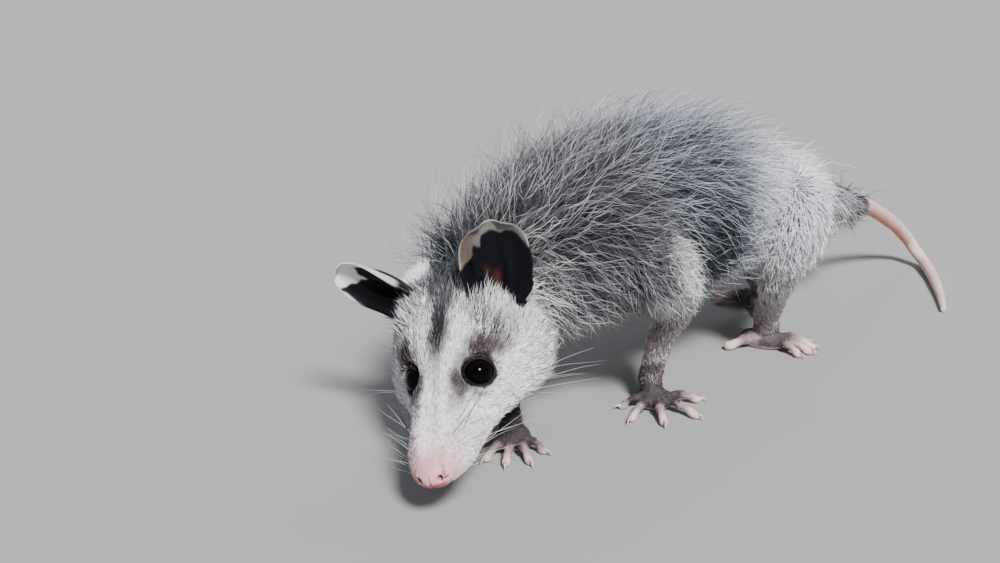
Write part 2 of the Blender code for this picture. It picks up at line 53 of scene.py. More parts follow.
NOSE_RADII = (5.2, 6.4, 4.6)
EAR_HEIGHT, EAR_WIDTH = 39.5, 31.5

# forward, left, up, yaw, pitch, roll, half-width, rise, fall, pear, power
TRUNK = [
    (-154, 13, 66.0, -6, 14, 0, 8.0, 8.0, 8.0, 0.00, 2.0),
    (-146, 10, 68.0, -6, 12, 0, 15.0, 11.5, 15.0, 0.00, 2.0),
    (-134, 6, 70.5, -4, 10, 0, 26.0, 17.0, 24.0, 0.05, 2.0),
    (-118, 2, 73.5, 0, 8, 0, 36.0, 22.0, 33.0, 0.10, 2.1),
    (-98, 0, 77.0, 0, 5, 0, 43.0, 28.0, 39.0, 0.12, 2.2),
    (-74, 0, 80.0, 0, 3, 0, 47.0, 33.0, 40.0, 0.14, 2.2),
    (-42, 0, 84.0, 0, 0, 0, 48.0, 41.0, 42.0, 0.16, 2.2),
    (-8, 0, 87.0, 0, 0, 0, 49.0, 49.0, 45.0, 0.18, 2.2),
    (25, 0, 88.0, 0, 0, 0, 47.0, 53.0, 47.0, 0.18, 2.2),
    (52, 0, 87.0, 0, -3, 0, 43.0, 53.0, 47.0, 0.12, 2.1),
    (75, -1, 84.0, 4, -9, 2, 39.0, 48.0, 43.0, 0.05, 2.1),
    (93, -4, 78.0, 11, -16, 6, 35.5, 42.0, 38.0, 0.00, 2.0),
    (107, -8, 70.5, 21, -20, 11, 34.0, 39.0, 34.0, 0.00, 2.0),
]
# depth of the coat at those stations: sides, back, belly
TRUNK_COAT = [(3, 3.5, 3), (6, 5, 6), (9, 7, 9), (10, 9, 10), (10, 11, 9), (9, 13, 9),
              (11, 15, 10), (12, 17, 10), (12, 18, 10), (11, 18, 10), (10, 17, 10),
              (9, 14, 9), (8.5, 11, 9)]
# along, half-width, top, bottom, mid, power, pear
HEAD = [
    (-2, 35.0, 36.0, -27.0, 3.0, 2.00, 0.00),
    (10, 37.5, 37.0, -27.0, 1.0, 2.05, 0.04),
    (22, 39.5, 37.0, -26.0, -1.0, 2.10, 0.08),
    (33, 38.0, 35.0, -24.0, -2.5, 2.10, 0.12),
    (44, 33.0, 31.5, -21.0, -3.0, 2.10, 0.18),
    (54, 26.2, 27.0, -18.0, -2.5, 2.10, 0.20),
    (64, 21.2, 21.5, -16.0, -2.0, 2.10, 0.16),
    (74, 18.1, 17.2, -14.3, -1.8, 2.10, 0.12),
    (83, 15.9, 13.8, -13.2, -1.8, 2.20, 0.08),
    (91, 13.7, 10.8, -11.8, -1.5, 2.25, 0.05),
    (98, 10.6, 8.0, -8.6, -0.6, 2.20, 0.00),
    (103.6, 6.5, 4.8, -4.8, 0.0, 2.00, 0.00),
]
HEAD_COAT = [(8, 9, 8), (7, 7, 7.5), (6, 5, 6.5), (5, 3.6, 5.5), (3.8, 2.6, 4.5),
             (2.6, 2.0, 3.4), (2.0, 1.6, 2.6), (1.6, 1.3, 2.1), (1.3, 1.0, 1.7),
             (0.9, 0.7, 1.2), (0.4, 0.3, 0.5), (0.1, 0.1, 0.1)]
TAIL = [
    (-155.2, 13.2, 65.4, 7.0), (-161, 13.9, 63.9, 6.1), (-168, 14.1, 61.8, 5.6),
    (-182, 13.0, 57.4, 5.3), (-209, 9.0, 47.8, 4.9), (-232, 7.4, 36.7, 4.6),
    (-251, 8.0, 25.0, 4.3), (-261, 11.8, 14.2, 4.0), (-259.5, 20.5, 6.6, 3.8),
    (-245.8, 33.2, 4.0, 3.65), (-226.5, 47.0, 3.2, 3.35), (-207.6, 59.2, 2.55, 2.75),
    (-187.5, 70.9, 1.65, 1.95),
]
TAIL_COAT = [2.2, 1.4, 0.7, 0.15, 0.1, 0.1, 0.1, 0.1, 0.1, 0.1, 0.1, 0.1, 0.1]
LEGS = {
    "foreleg_left": [
        (70, 14, 96, 13, 17), (60, 35, 84, 15, 20), (47, 41, 69, 12.5, 16),
        (40, 38, 56, 10.5, 12.5), (38, 32, 43, 8.6, 9), (37, 27, 31, 7.2, 7.4),
        (38, 25, 21, 6.2, 6.2), (39, 24, 14, 6.2, 6.0)],
    "foreleg_right": [
        (76, -12, 94, 13, 17), (80, -31, 80, 14.5, 20), (86, -36, 62, 12, 15),
        (90, -33, 46, 10.5, 12), (98, -23, 33, 9, 9.5), (107, -12, 23, 7.4, 7.4),
        (113, -5, 17, 6.4, 6.4), (117, 0, 13, 6.3, 6.0)],
    "hindleg_left": [
        (-84, 14, 84, 16, 20), (-74, 35, 80, 18, 26), (-52, 42, 63, 15.5, 19),
        (-50, 40, 50, 12, 14), (-58, 33, 37, 9, 10.5), (-65, 27, 25, 8, 8.5),
        (-68, 23, 16, 7.6, 8), (-69, 23, 11, 7.4, 8)],
    "hindleg_right": [
        (-88, -14, 84, 16, 20), (-82, -35, 79, 18, 26), (-84, -38, 65, 15.5, 19),
        (-95, -33, 51, 12, 14), (-107, -25, 37, 9, 10.5), (-116, -17, 25, 8, 8.5),
        (-120, -13, 16, 7.6, 8), (-121, -12, 11, 7.4, 8)],
}
LEG_COAT = {"fore": (7, 6.5, 4.6, 3.4, 2.4, 1.7, 1.0, 0.8),
            "hind": (7, 7.5, 6.0, 4.4, 2.6, 1.8, 1.1, 0.8)}
FEET = {
    "forefoot_left": dict(
        joint=(39, 24, 14), sole=(40.5, 28), half=(10.5, 8.5), heading=70,
        digits=((-32, 5, 18, 1.9, 1), (10, 6, 25, 2.2, 1), (48, 6, 26, 2.3, 1),
                (92, 6, 26, 2.3, 1), (142, 6, 24, 2.1, 1))),
    "forefoot_right": dict(
        joint=(117, 0, 13), sole=(122, 8), half=(10.5, 8.5), heading=38,
        digits=((98, 5, 18, 1.9, 1), (62, 6, 23, 2.2, 1), (34, 6, 24, 2.3, 1),
                (8, 6, 23, 2.3, 1), (-26, 6, 20, 2.1, 1))),
    "hindfoot_left": dict(
        joint=(-69, 23, 11), sole=(-68.5, 23), half=(14.5, 8.5), heading=108,
        digits=((-30, 4, 24, 2.9, 0), (82, 9, 25, 2.2, 1), (100, 10, 27, 2.3, 1),
                (118, 10, 27, 2.3, 1), (138, 9, 24, 2.2, 1))),
    "hindfoot_right": dict(
        joint=(-121, -12, 11), sole=(-121.5, -15), half=(14.5, 8.5), heading=-80,
        digits=((30, 4, 21, 2.9, 0), (-62, 9, 26, 2.2, 1), (-80, 10, 28, 2.3, 1),
                (-98, 10, 28, 2.3, 1), (-118, 9, 25, 2.2, 1))),
}
EARS = {
    "ear_left": dict(base=(22, 22.5, 25), rise=(-0.34, 0.10, 0.93),
                     opens=(0.84, 0.48, 0.22), side=1, slim=1.0),
    "ear_right": dict(base=(17.0, -23.0, 29.2), rise=(-0.33, -0.865, 0.38),
                      opens=(0.88, -0.36, 0.20), side=-1, slim=0.72),
}


# ------------------------------------------------------------ maths
def place(points):
    p = np.atleast_2d(np.asarray(points, float)) * (GROWTH * 0.001)
    return np.c_[ORIGIN_X - p[:, 0], ORIGIN_Y - p[:, 1], p[:, 2]]


def unplace(points):
    p = np.atleast_2d(np.asarray(points, float))
    return np.c_[ORIGIN_X - p[:, 0], ORIGIN_Y - p[:, 1], p[:, 2]] / (GROWTH * 0.001)


def smooth_rows(knots, rows, at):
    knots = np.asarray(knots, float)
    rows = np.asarray(rows, float)
    span = np.diff(knots)
    slope = np.diff(rows, axis=0) / span[:, None]
    tangent = np.zeros_like(rows)
    tangent[0], tangent[-1] = slope[0], slope[-1]
    for i in range(1, len(knots) - 1):
        w = span[i] / (span[i - 1] + span[i])
        mix = w * slope[i - 1] + (1 - w) * slope[i]
        cap = 3 * np.minimum(np.abs(slope[i - 1]), np.abs(slope[i]))
        same = slope[i - 1] * slope[i] > 0
        tangent[i] = np.where(same, np.sign(mix) * np.minimum(np.abs(mix), cap), 0)
    at = np.atleast_1d(np.asarray(at, float))
    k = np.clip(np.searchsorted(knots, at, side="right") - 1, 0, len(knots) - 2)
    u = ((at - knots[k]) / span[k])[:, None]
    h = span[k][:, None]
    return ((2 * u**3 - 3 * u**2 + 1) * rows[k] + (u**3 - 2 * u**2 + u) * h * tangent[k]
            + (-2 * u**3 + 3 * u**2) * rows[k + 1] + (u**3 - u**2) * h * tangent[k + 1])


def axes(yaw, pitch, roll):
    y, p, r = radians(yaw), radians(pitch), radians(roll)
    fwd = np.array([cos(p) * cos(y), cos(p) * sin(y), sin(p)])
    left = np.array([-sin(y), cos(y), 0.0])
    up = np.array([-sin(p) * cos(y), -sin(p) * sin(y), cos(p)])
    return fwd, cos(r) * left + sin(r) * up, -sin(r) * left + cos(r) * up


HEAD_AXES = np.array(axes(HEAD_YAW, HEAD_PITCH, HEAD_ROLL))


def head_point(p):
    return HEAD_ORIGIN + np.atleast_2d(np.asarray(p, float)) @ HEAD_AXES


def head_dir(v):
    d = np.asarray(v, float) @ HEAD_AXES
    return d / np.linalg.norm(d)


def to_head(p):
    return (np.atleast_2d(p) - HEAD_ORIGIN) @ HEAD_AXES.T


def unit(v):
    return v / np.maximum(np.linalg.norm(v, axis=-1, keepdims=True), 1e-9)


def step01(a, b, x):
    """Smooth step from 0 at a to 1 at b."""
    t = np.clip((np.asarray(x, float) - a) / (b - a), 0, 1)
    return t * t * (3 - 2 * t)


def bump(x, centre, width):
    return np.exp(-((np.asarray(x, float) - centre) / width) ** 2)


def wavy(p, size, seed, count=7):
    """Smooth noise, about -1 to 1, from a handful of slanted waves."""
    rng = np.random.default_rng(seed)
    out = np.zeros(len(p))
    for _ in range(count):
        d = rng.normal(size=3)
        d *= (2 * pi / size) * rng.uniform(0.6, 1.5) / np.linalg.norm(d)
        out += np.sin(p @ d + rng.uniform(0, 2 * pi))
    return out / np.sqrt(count) * 0.9


def cells(p, size, seed):
    """Nearest point of a jittered grid: its place, distance and a random number."""
    base = np.floor(p / size).astype(np.int64)
    best = np.full(len(p), 1e9)
    spot = np.zeros_like(p)
    mark = np.zeros(len(p))
    for dx in (-1, 0, 1):
        for dy in (-1, 0, 1):
            for dz in (-1, 0, 1):
                c = base + np.array([dx, dy, dz])
                h = (c[:, 0] * 73856093) ^ (c[:, 1] * 19349663) ^ (c[:, 2] * 83492791) ^ (seed * 2654435)
                h = (h * 1103515245 + 12345) & 0x7FFFFFFF
                r1 = (h % 9973) / 9973.0
                h = (h * 1103515245 + 12345) & 0x7FFFFFFF
                r2 = (h % 9967) / 9967.0
                h = (h * 1103515245 + 12345) & 0x7FFFFFFF
                r3 = (h % 9949) / 9949.0
                q = (c + np.c_[r1, r2, r3]) * size
                d = np.linalg.norm(q - p, axis=1)
                m = d < best
                best[m] = d[m]
                spot[m] = q[m]
                mark[m] = ((h[m] >> 5) % 9941) / 9941.0
    return spot, best, mark


# ------------------------------------------------------------ flesh forms
def spine(inset=True):
    rows = []
    for r, c in zip(TRUNK, TRUNK_COAT):
        r = list(r)
        if inset:
            r[6], r[7], r[8] = r[6] - c[0], r[7] - c[1], r[8] - c[2]
        rows.append(r)
    for (along, half, top, bottom, mid, power, pear), c in zip(HEAD, HEAD_COAT):
        p = head_point((along, 0, mid))[0]
        a, b, d = (c if inset else (0, 0, 0))
        rows.append([*p, HEAD_YAW, HEAD_PITCH, HEAD_ROLL, half - a,
                     top - mid - b, mid - bottom - d, pear, power])
    rows = np.array(rows, float)
    steps = np.linalg.norm(np.diff(rows[:, :3], axis=0), axis=1)
    return np.r_[0, np.cumsum(steps)], rows


def spine_rings(count, sides, inset=True):
    knots, rows = spine(inset)
    turn = np.arange(sides) * 2 * pi / sides
    c, s = np.cos(turn), np.sin(turn)
    rings = []
    for q in smooth_rows(knots, rows, np.linspace(0, knots[-1], count)):
        fwd, left, up = axes(q[3], q[4], q[5])
        x = np.sign(c) * np.abs(c) ** (2 / q[10]) * (1 - q[9] * s) * q[6]
        z = np.sign(s) * np.abs(s) ** (2 / q[10])
        z = np.where(s >= 0, z * q[7], z * q[8])
        rings.append(q[:3] + x[:, None] * left + z[:, None] * up)
    return rings


def tube_path(rows, step):
    rows = np.array(rows, float)
    if rows.shape[1] == 4:
        rows = np.c_[rows, rows[:, 3]]
    knots = np.r_[0, np.cumsum(np.linalg.norm(np.diff(rows[:, :3], axis=0), axis=1))]
    count = max(3, int(round(knots[-1] / step)) + 1)
    at = np.linspace(0, knots[-1], count)
    q = smooth_rows(knots, rows, at)
    ahead = smooth_rows(knots, rows, np.clip(at + 0.5, 0, knots[-1]))[:, :3]
    back = smooth_rows(knots, rows, np.clip(at - 0.5, 0, knots[-1]))[:, :3]
    return at, q, unit(ahead - back)


def tube_rings(rows, step, sides, across=(0, 1, 0)):
    _, q, way = tube_path(rows, step)
    turn = np.arange(sides) * 2 * pi / sides
    ref, rings = np.array(across, float), []
    for row, t in zip(q, way):
        u = ref - t * (ref @ t)
        u /= np.linalg.norm(u)
        v = np.cross(t, u)
        ref = u
        rings.append(row[:3] + np.cos(turn)[:, None] * u * row[3]
                     + np.sin(turn)[:, None] * v * row[4])
    return rings


def closed(rings):
    """(vertices, faces) of a closed loft with a fan at each end."""
    n = len(rings[0])
    verts = np.vstack([np.vstack(rings), np.mean(rings[0], axis=0), np.mean(rings[-1], axis=0)])
    faces = []
    for i in range(len(rings) - 1):
        for j in range(n):
            k = (j + 1) % n
            faces.append((i * n + j, i * n + k, (i + 1) * n + k, (i + 1) * n + j))
    a, b, last = len(verts) - 2, len(verts) - 1, (len(rings) - 1) * n
    for j in range(n):
        k = (j + 1) % n
        faces.append((a, k, j))
        faces.append((b, last + j, last + k))
    return verts, faces


def egg(centre, radii, turn, segments=28, rings=16):
    out = []
    for i in range(rings + 1):
        a = -pi / 2 + pi * i / rings
        r = max(cos(a), 0.02)
        t = np.arange(segments) * 2 * pi / segments
        out.append(np.asarray(centre) + turn[0] * radii[0] * sin(a)
                   + np.cos(t)[:, None] * turn[1] * radii[1] * r
                   + np.sin(t)[:, None] * turn[2] * radii[2] * r)
    return closed(out)


def foot_forms(spec, leg_rows, claws):
    """Sole, wrist, digits and pads; the claws' centre lines go in the list."""
    forms = []
    sole_l, sole_w = spec["half"]
    h = radians(spec["heading"])
    fwd = np.array([cos(h), sin(h), 0.0])
    side = np.array([-sin(h), cos(h), 0.0])
    mid = np.array([*spec["sole"], 0.0])
    rings = []
    for k in range(17):
        a = -pi / 2 + pi * k / 16
        r = max(cos(a), 0.04)
        wide = sole_w * r * (1 + 0.12 * sin(a)) * 0.97
        tall = (5.5 - 0.9 * sin(a)) * r
        turn = np.arange(24) * 2 * pi / 24
        rings.append(mid + fwd * sin(a) * sole_l * 0.98 + np.array([0, 0, 4.0])
                     + np.cos(turn)[:, None] * side * wide
                     + np.sin(turn)[:, None] * np.array([0, 0, tall]))
    forms.append(closed(rings))
    last, prev = np.array(leg_rows[-1][:3], float), np.array(leg_rows[-2][:3], float)
    rad = leg_rows[-1][3] - 0.8
    down = mid + np.array([0, 0, 4.6]) - fwd * 1.0
    rows = [(*prev, rad), (*last, rad), (*(0.45 * last + 0.55 * down), rad), (*down, rad * 0.74)]
    forms.append(closed(tube_rings(rows, 1.5, 22)))
    for i, (head, start, reach, radius, claw) in enumerate(spec["digits"]):
        a = radians(head)
        d = np.array([cos(a), sin(a), 0.0])
        up = np.array([0, 0, 1.0])
        span = reach - start
        stations = [(start * 0.3, 4.2, 1.20), (start + 0.25 * span, 5.4, 0.90),
                    (start + 0.42 * span, 5.1, 1.06), (start + 0.60 * span, 4.3, 0.80),
                    (start + 0.74 * span, 3.3, 0.92), (start + 0.86 * span, 2.3, 0.80),
                    (reach - 2.0, radius * 0.84, 0.98),
                    (reach - 0.2, radius * 0.78, 0.80), (reach + 1.0, radius * 0.74, 0.30)]
        rows = [(*(mid + d * s + up * z), radius * k) for s, z, k in stations]
        forms.append(closed(tube_rings(rows, 0.8, 18, across=(-sin(a), cos(a), 0))))
        # soft pad under the tip
        pad = mid + d * (reach - 2.4) + up * (radius * 0.62)
        forms.append(egg(pad, (radius * 1.30, radius * 1.02, radius * 0.60),
                         (d, np.array([-sin(a), cos(a), 0.0]), up), 18, 10))
        if claw:
            tip = mid + d * (reach + 0.2) + up * (radius * 1.05)
            claws.append((tip, d, radius))
    return forms


# ------------------------------------------------------------ blender helpers
def new_object(name, me):
    ob = bpy.data.objects.new(name, me)
    bpy.context.scene.collection.objects.link(ob)
    return ob


def mesh_from(verts, faces, name="form"):
    me = bpy.data.meshes.new(name)
    me.from_pydata([tuple(v) for v in verts], [], faces)
    me.update()
    return me


def joined(forms, name):
    """One mesh object, in metres, from many closed forms in design millimetres."""
    bm = bmesh.new()
    for verts, faces in forms:
        me = mesh_from(place(verts), faces)
        part = bmesh.new()
        part.from_mesh(me)
        bmesh.ops.recalc_face_normals(part, faces=part.faces)
        if part.calc_volume(signed=True) < 0:
            bmesh.ops.reverse_faces(part, faces=part.faces)
        part.to_mesh(me)
        part.free()
        bm.from_mesh(me)
        bpy.data.meshes.remove(me)
    me = bpy.data.meshes.new(name)
    bm.to_mesh(me)
    bm.free()
    return new_object(name, me)


def settle(ob):
    bpy.context.view_layer.update()
    dg = bpy.context.evaluated_depsgraph_get()
    me = bpy.data.meshes.new_from_object(ob.evaluated_get(dg))
    ob.modifiers.clear()
    old, ob.data = ob.data, me
    bpy.data.meshes.remove(old)
    return ob


def coords(me):
    a = np.empty(len(me.vertices) * 3)
    me.vertices.foreach_get("co", a)
    return a.reshape(-1, 3)


def normals(me):
    a = np.empty(len(me.vertices) * 3)
    me.vertex_normals.foreach_get("vector", a)
    return a.reshape(-1, 3)


def set_coords(me, v):
    me.vertices.foreach_set("co", np.ascontiguousarray(v).ravel())
    me.update()


# ------------------------------------------------------------ the skin's form
claw_spots = []
forms = [closed(spine_rings(170, 72))]
for name, rows in LEGS.items():
    thin = LEG_COAT["fore" if name.startswith("fore") else "hind"]
    slim = [(*r[:3], r[3] - c, r[4] - c) for r, c in zip(rows, thin)]
    forms.append(closed(tube_rings(slim, 2.0, 36)))
    forms += foot_forms(FEET[name.replace("leg", "foot")], rows, claw_spots)
tail_rows = [(*r[:3], r[3] - c) for r, c in zip(TAIL, TAIL_COAT)]
# the root runs on into the rump, so that the two melt together
root = np.array(tail_rows[0][:3])
tail_rows = [(*(root + np.array([14, -3.2, 3.0])), 7.5), *tail_rows]
forms.append(closed(tube_rings(tail_rows, 1.6, 26, across=(0, 0, 1))))
forms.append(egg(head_point(NOSE_CENTRE)[0], NOSE_RADII, HEAD_AXES, 30, 18))

VOXEL = 0.00098
skin = joined(forms, "opossum_skin")
melt = skin.modifiers.new("melt", "REMESH")
melt.mode, melt.voxel_size, melt.adaptivity = "VOXEL", VOXEL, 0.0
soft = skin.modifiers.new("soft", "SMOOTH")
soft.factor, soft.iterations = 0.5, 5
settle(skin)


def refine(ob, test, times=1):
    """Splits the faces of one region, so that it can hold finer forms."""
    for _ in range(times):
        p = unplace(coords(ob.data))
        keep = test(p)
        bm = bmesh.new()
        bm.from_mesh(ob.data)
        bm.verts.ensure_lookup_table()
        edges = [e for e in bm.edges if keep[e.verts[0].index] and keep[e.verts[1].index]]
        bmesh.ops.subdivide_edges(bm, edges=edges, cuts=1, use_grid_fill=True)
        bm.to_mesh(ob.data)
        bm.free()


def face_zone(p):
    h = to_head(p)
    return (h[:, 0] > 40) & (h[:, 2] > -30)


def eye_zone(p):
    h = to_head(p)
    out = np.zeros(len(h), bool)
    for s in (1, -1):
        c = np.array((EYE_CENTRE[0], EYE_CENTRE[1] * s, EYE_CENTRE[2]))
        out |= np.linalg.norm(h - c, axis=1) < 12.5
    out |= np.linalg.norm(h - np.array((103.5, 0, 0.5)), axis=1) < 8.0
    return out


refine(skin, face_zone)
refine(skin, eye_zone)

EYE_LOOK = {s: unit(np.array((0.62, 0.52 * s, 0.57))) for s in (1, -1)}


def eye_frame(s):
    """Centre, outward look, along the lids and across them, in the head frame."""
    c = np.array((EYE_CENTRE[0], EYE_CENTRE[1] * s, EYE_CENTRE[2]))
    look = EYE_LOOK[s]
    # the slit runs from the inner corner, high on the muzzle, out and down the cheek
    along = np.array((-0.53, 0.61 * s, -0.58))
    along = unit(along - look * (along @ look))
    return c, look, along, np.cross(look, along) * s


def lid_opening(angle):
    """Half-size of the opening between the lids, by the angle round the look."""
    oval = 1.0 / np.sqrt((np.cos(angle) / 5.7) ** 2 + (np.sin(angle) / 5.0) ** 2)
    return oval * (1 + 0.08 * np.abs(np.cos(angle)) ** 6)


def lid_gap(h):
    """Distance from the edge of the nearer eye's opening, 99 away from the eyes."""
    gap = np.full(len(h), 99.0)
    for s in (1, -1):
        c, look, along, across = eye_frame(s)
        d = h - c
        a, b = d @ along, d @ across
        g = np.hypot(a, b) - lid_opening(np.arctan2(b, a))
        near = (d @ look > -4) & (np.sign(h[:, 1]) == s)
        gap = np.minimum(gap, np.where(near, g, 99.0))
    return gap


def sculpt(p):
    """Moves the skin's points, in the body frame, to make the face."""
    h = to_head(p)
    near = h[:, 0] > 15
    x, y, z = h[near].T.copy()
    side = np.where(y >= 0, 1.0, -1.0)
    ay = np.abs(y)
    # bridge of the nose: flat top with a faint gutter, and slimmer sides
    top = step01(2, 9, z) * step01(60, 72, x) * (1 - step01(96, 102, x))
    z = z - 0.7 * bump(ay, 0, 2.2) * top
    z = z + 0.5 * bump(ay, 5.5, 2.6) * top
    # hollow under the cheek bone, ahead of the eye
    y = y - side * 1.1 * bump(x, 68, 8) * bump(z, 1, 6) * step01(4, 9, ay)
    # cheek muscle
    y = y + side * 1.2 * bump(x, 40, 10) * bump(z, -4, 9)
    # whisker pads
    y = y + side * 0.9 * bump(x, 88, 7) * bump(z, -1.5, 4.5)
    # mouth: a crease along the lips, the lower jaw set in under the upper lip
    line = np.interp(x, (50, 57, 66, 75, 88, 94.5, 98, 101), (-12.5, -9.9, -8.4, -7.6, -6.9, -6.4, -5.6, -5.2))
    reach = step01(50, 56, x) * (1 - step01(99.5, 102, x))
    d = z - line
    crease = np.exp(-(d / 0.62) ** 2) * reach
    under = step01(0.2, -1.6, d) * reach
    r = np.maximum(np.hypot(y, z + 3), 1e-6)
    y = y - y / r * (1.05 * crease)
    z = z - (z + 3) / r * (0.75 * crease)
    y = y * (1 - 0.10 * under * step01(60, 80, x))
    x = x - 2.2 * under * step01(84, 98, x)
    # upper lip hangs over a little
    lip = np.exp(-((d - 1.3) / 1.1) ** 2) * reach
    y = y + side * 0.35 * lip
    # nostrils: comma-shaped pits on the shoulders of the pad, open to the side
    for s in (1, -1):
        dx, dy, dz = x - 104.2, y - 4.6 * s, z - 0.9
        q = np.sqrt((dx / 2.6) ** 2 + (dy / 1.25) ** 2 + (dz / 1.45) ** 2)
        x = x - 2.2 * np.exp(-q**4 * 1.2)
        y = y - s * 0.7 * np.exp(-q**4 * 1.2)
        dx, dy, dz = x - 101.6, y - 6.2 * s, z - 0.2
        q = np.sqrt((dx / 2.3) ** 2 + (dy / 1.5) ** 2 + (dz / 0.75) ** 2)
        y = y - s * 1.2 * np.exp(-q**4)
        # wing of the nostril
        q = np.sqrt(((x - 102.6) / 2.0) ** 2 + ((y - 5.6 * s) / 1.5) ** 2 + ((z - 2.9) / 1.2) ** 2)
        z = z + 0.55 * np.exp(-q**2)
        y = y + s * 0.35 * np.exp(-q**2)
    # groove between the nostrils, down to the lip
    groove = bump(y, 0, 0.55) * step01(99, 103, x) * step01(5.0, 1.0, z)
    x = x - 0.75 * groove
    # edge of the bare pad
    pad = np.sqrt(((x - 100.6) / 4.6) ** 2 + (y / 6.7) ** 2 + ((z - 0.8) / 4.9) ** 2)
    rim = np.exp(-((pad - 1.12) / 0.10) ** 2) * step01(95, 98, x)
    y, z = y * (1 - 0.045 * rim), z * (1 - 0.045 * rim)
    q = np.c_[x, y, z]
    # eyes: bowl, lids and the folds round them
    for s in (1, -1):
        c, look, along, across = eye_frame(s)
        d = q - c
        depth = d @ look
        a, b = d @ along, d @ across
        r = np.hypot(a, b)
        angle = np.arctan2(b, a)
        hole = lid_opening(angle)
        zone = (r < 15) & (depth > -5)
        ball = np.sqrt(np.maximum(EYE_RADIUS**2 - r**2, 0))
        shell = EYE_RADIUS + 0.38
        lid = np.sqrt(np.maximum(shell**2 - np.minimum(r, shell - 0.15) ** 2, 0))
        # outside the opening the lid lies on the ball and runs out to the face
        out = step01(hole + 0.2, hole + 4.4, r)
        face = depth
        sit = np.maximum(lid + 0.08, np.minimum(face, lid + 1.0))
        lidded = sit * (1 - out) + face * out
        # rolled rim and one fold above the lid
        lidded = lidded + 0.28 * np.exp(-((r - hole - 0.50) / 0.50) ** 2)
        lidded = lidded - 0.50 * np.exp(-((r - hole - 2.2) / 0.60) ** 2) * (0.35 + 0.65 * (b > 0))
        bowl = -1.5 + 0 * ball
        wall = step01(hole - 0.15, hole + 0.30, r)
        new = bowl * (1 - wall) + lidded * wall
        depth2 = np.where(zone, new, depth)
        fade = np.where(zone, 1 - step01(12, 15, r), 0)
        q = q + ((depth2 - depth) * fade)[:, None] * look
    h[near] = q
    return head_point(h)


p = unplace(coords(skin.data))
p = sculpt(p)
p[:, 2] = np.maximum(p[:, 2], 0.0)
set_coords(skin.data, place(p))


# ------------------------------------------------------------ ears
def ear_half_width(v):
    knots = (0.0, 0.18, 0.42, 0.62, 0.78, 0.88, 0.95, 1.0)
    halves = (0.30, 0.41, 0.49, 0.50, 0.465, 0.395, 0.30, 0.14)
    return smooth_rows(knots, np.array(halves)[:, None], np.atleast_1d(v))[:, 0] * EAR_WIDTH


def ear_basis(spec):
    base = head_point(spec["base"])[0]
    rise = head_dir(spec["rise"])
    opens = head_dir(spec["opens"])
    opens = opens - rise * (opens @ rise)
    opens /= np.linalg.norm(opens)
    return base, rise, opens, np.cross(rise, opens)


def ear_surface(spec, v, u):
    """Middle surface of the ear, from foot (v 0) to top (v 1), edge to edge (u)."""
    base, rise, opens, wide = ear_basis(spec)
    v, u = np.asarray(v, float), np.asarray(u, float)
    k = spec["side"]
    half = ear_half_width(v) * spec["slim"]
    x = u * half
    cup = (1 - 0.62 * v) * 9.0 * (u * u - 0.55) + 3.5 * v * v
    y = (v - 0.10) * EAR_HEIGHT - 1.5 * u * u * v * v
    # ribs and folds of the thin skin, deepest low down in the cup
    inner = 1 - step01(0.45, 0.85, v)
    low = step01(0.02, 0.20, v)
    ribs = 0.8 * np.sin(u * 8.0 + 0.8 * k + 1.5 * v) * inner * low
    ribs += 1.9 * bump(u * k, 0.42, 0.11) * bump(v, 0.36, 0.20) * low
    ribs -= 1.5 * bump(u * k, 0.12, 0.15) * bump(v, 0.30, 0.20)
    ribs += 1.5 * bump(u * k, -0.34, 0.10) * bump(v, 0.30, 0.20) * low
    ribs -= 0.9 * bump(u * k, -0.62, 0.13) * bump(v, 0.42, 0.20)
    ribs -= 1.1 * bump(u * k, 0.70, 0.16) * bump(v, 0.58, 0.20)
    ribs += 0.6 * bump(u * k, 0.30, 0.08) * bump(v, 0.66, 0.14)
    ribs += 0.6 * bump(u * k, -0.20, 0.08) * bump(v, 0.70, 0.14)
    # the edge rolls in at the sides
    edge = np.abs(u)
    ribs += 1.1 * step01(0.84, 1.0, edge) * step01(0.95, 0.35, v) * low
    ribs += 0.5 * step01(0.93, 1.0, v)
    # low lobe of the outer side
    x = x + k * 1.6 * bump(u * k, 1.0, 0.35) * bump(v, 0.16, 0.10)
    x = x * (1 + 0.014 * np.sin(v * 15.0 + k) * edge**3)
    return (base + x[..., None] * wide + y[..., None] * rise + (cup + ribs)[..., None] * opens)


def ear_form(spec):
    rows, cols = ((60, 52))
    v = np.sin(np.linspace(0, 1, rows + 1) * pi / 2)[:, None] ** 1.15 * np.ones((1, cols + 1))
    u = np.linspace(-1, 1, cols + 1)[None, :] * np.ones((rows + 1, 1))
    mid = ear_surface(spec, v.ravel(), u.ravel()).reshape(rows + 1, cols + 1, 3)
    gu = np.gradient(mid, axis=1)
    gv = np.gradient(mid, axis=0)
    n = unit(np.cross(gu, gv))
    n[-1] = n[-2]
    edge = np.minimum(1 - np.abs(u), (1 - v) * 1.2)
    thick = (0.28 + 0.30 * step01(0.0, 0.10, edge) + 0.55 * step01(0.5, 0.0, v))[..., None]
    front, back = mid + n * thick, mid - n * thick
    verts = np.vstack([front.reshape(-1, 3), back.reshape(-1, 3)])
    m, w = (rows + 1) * (cols + 1), cols + 1
    faces = []
    for i in range(rows):
        for j in range(cols):
            a = i * w + j
            faces.append((a, a + 1, a + w + 1, a + w))
            faces.append((m + a, m + a + w, m + a + w + 1, m + a + 1))
    loop = [i for i in range(w)] + [i * w + cols for i in range(1, rows + 1)] \
        + [rows * w + j for j in range(cols - 1, -1, -1)] + [i * w for i in range(rows - 1, 0, -1)]
    for a, b in zip(loop, loop[1:] + loop[:1]):
        faces.append((a, m + a, m + b, b))
    return verts, faces


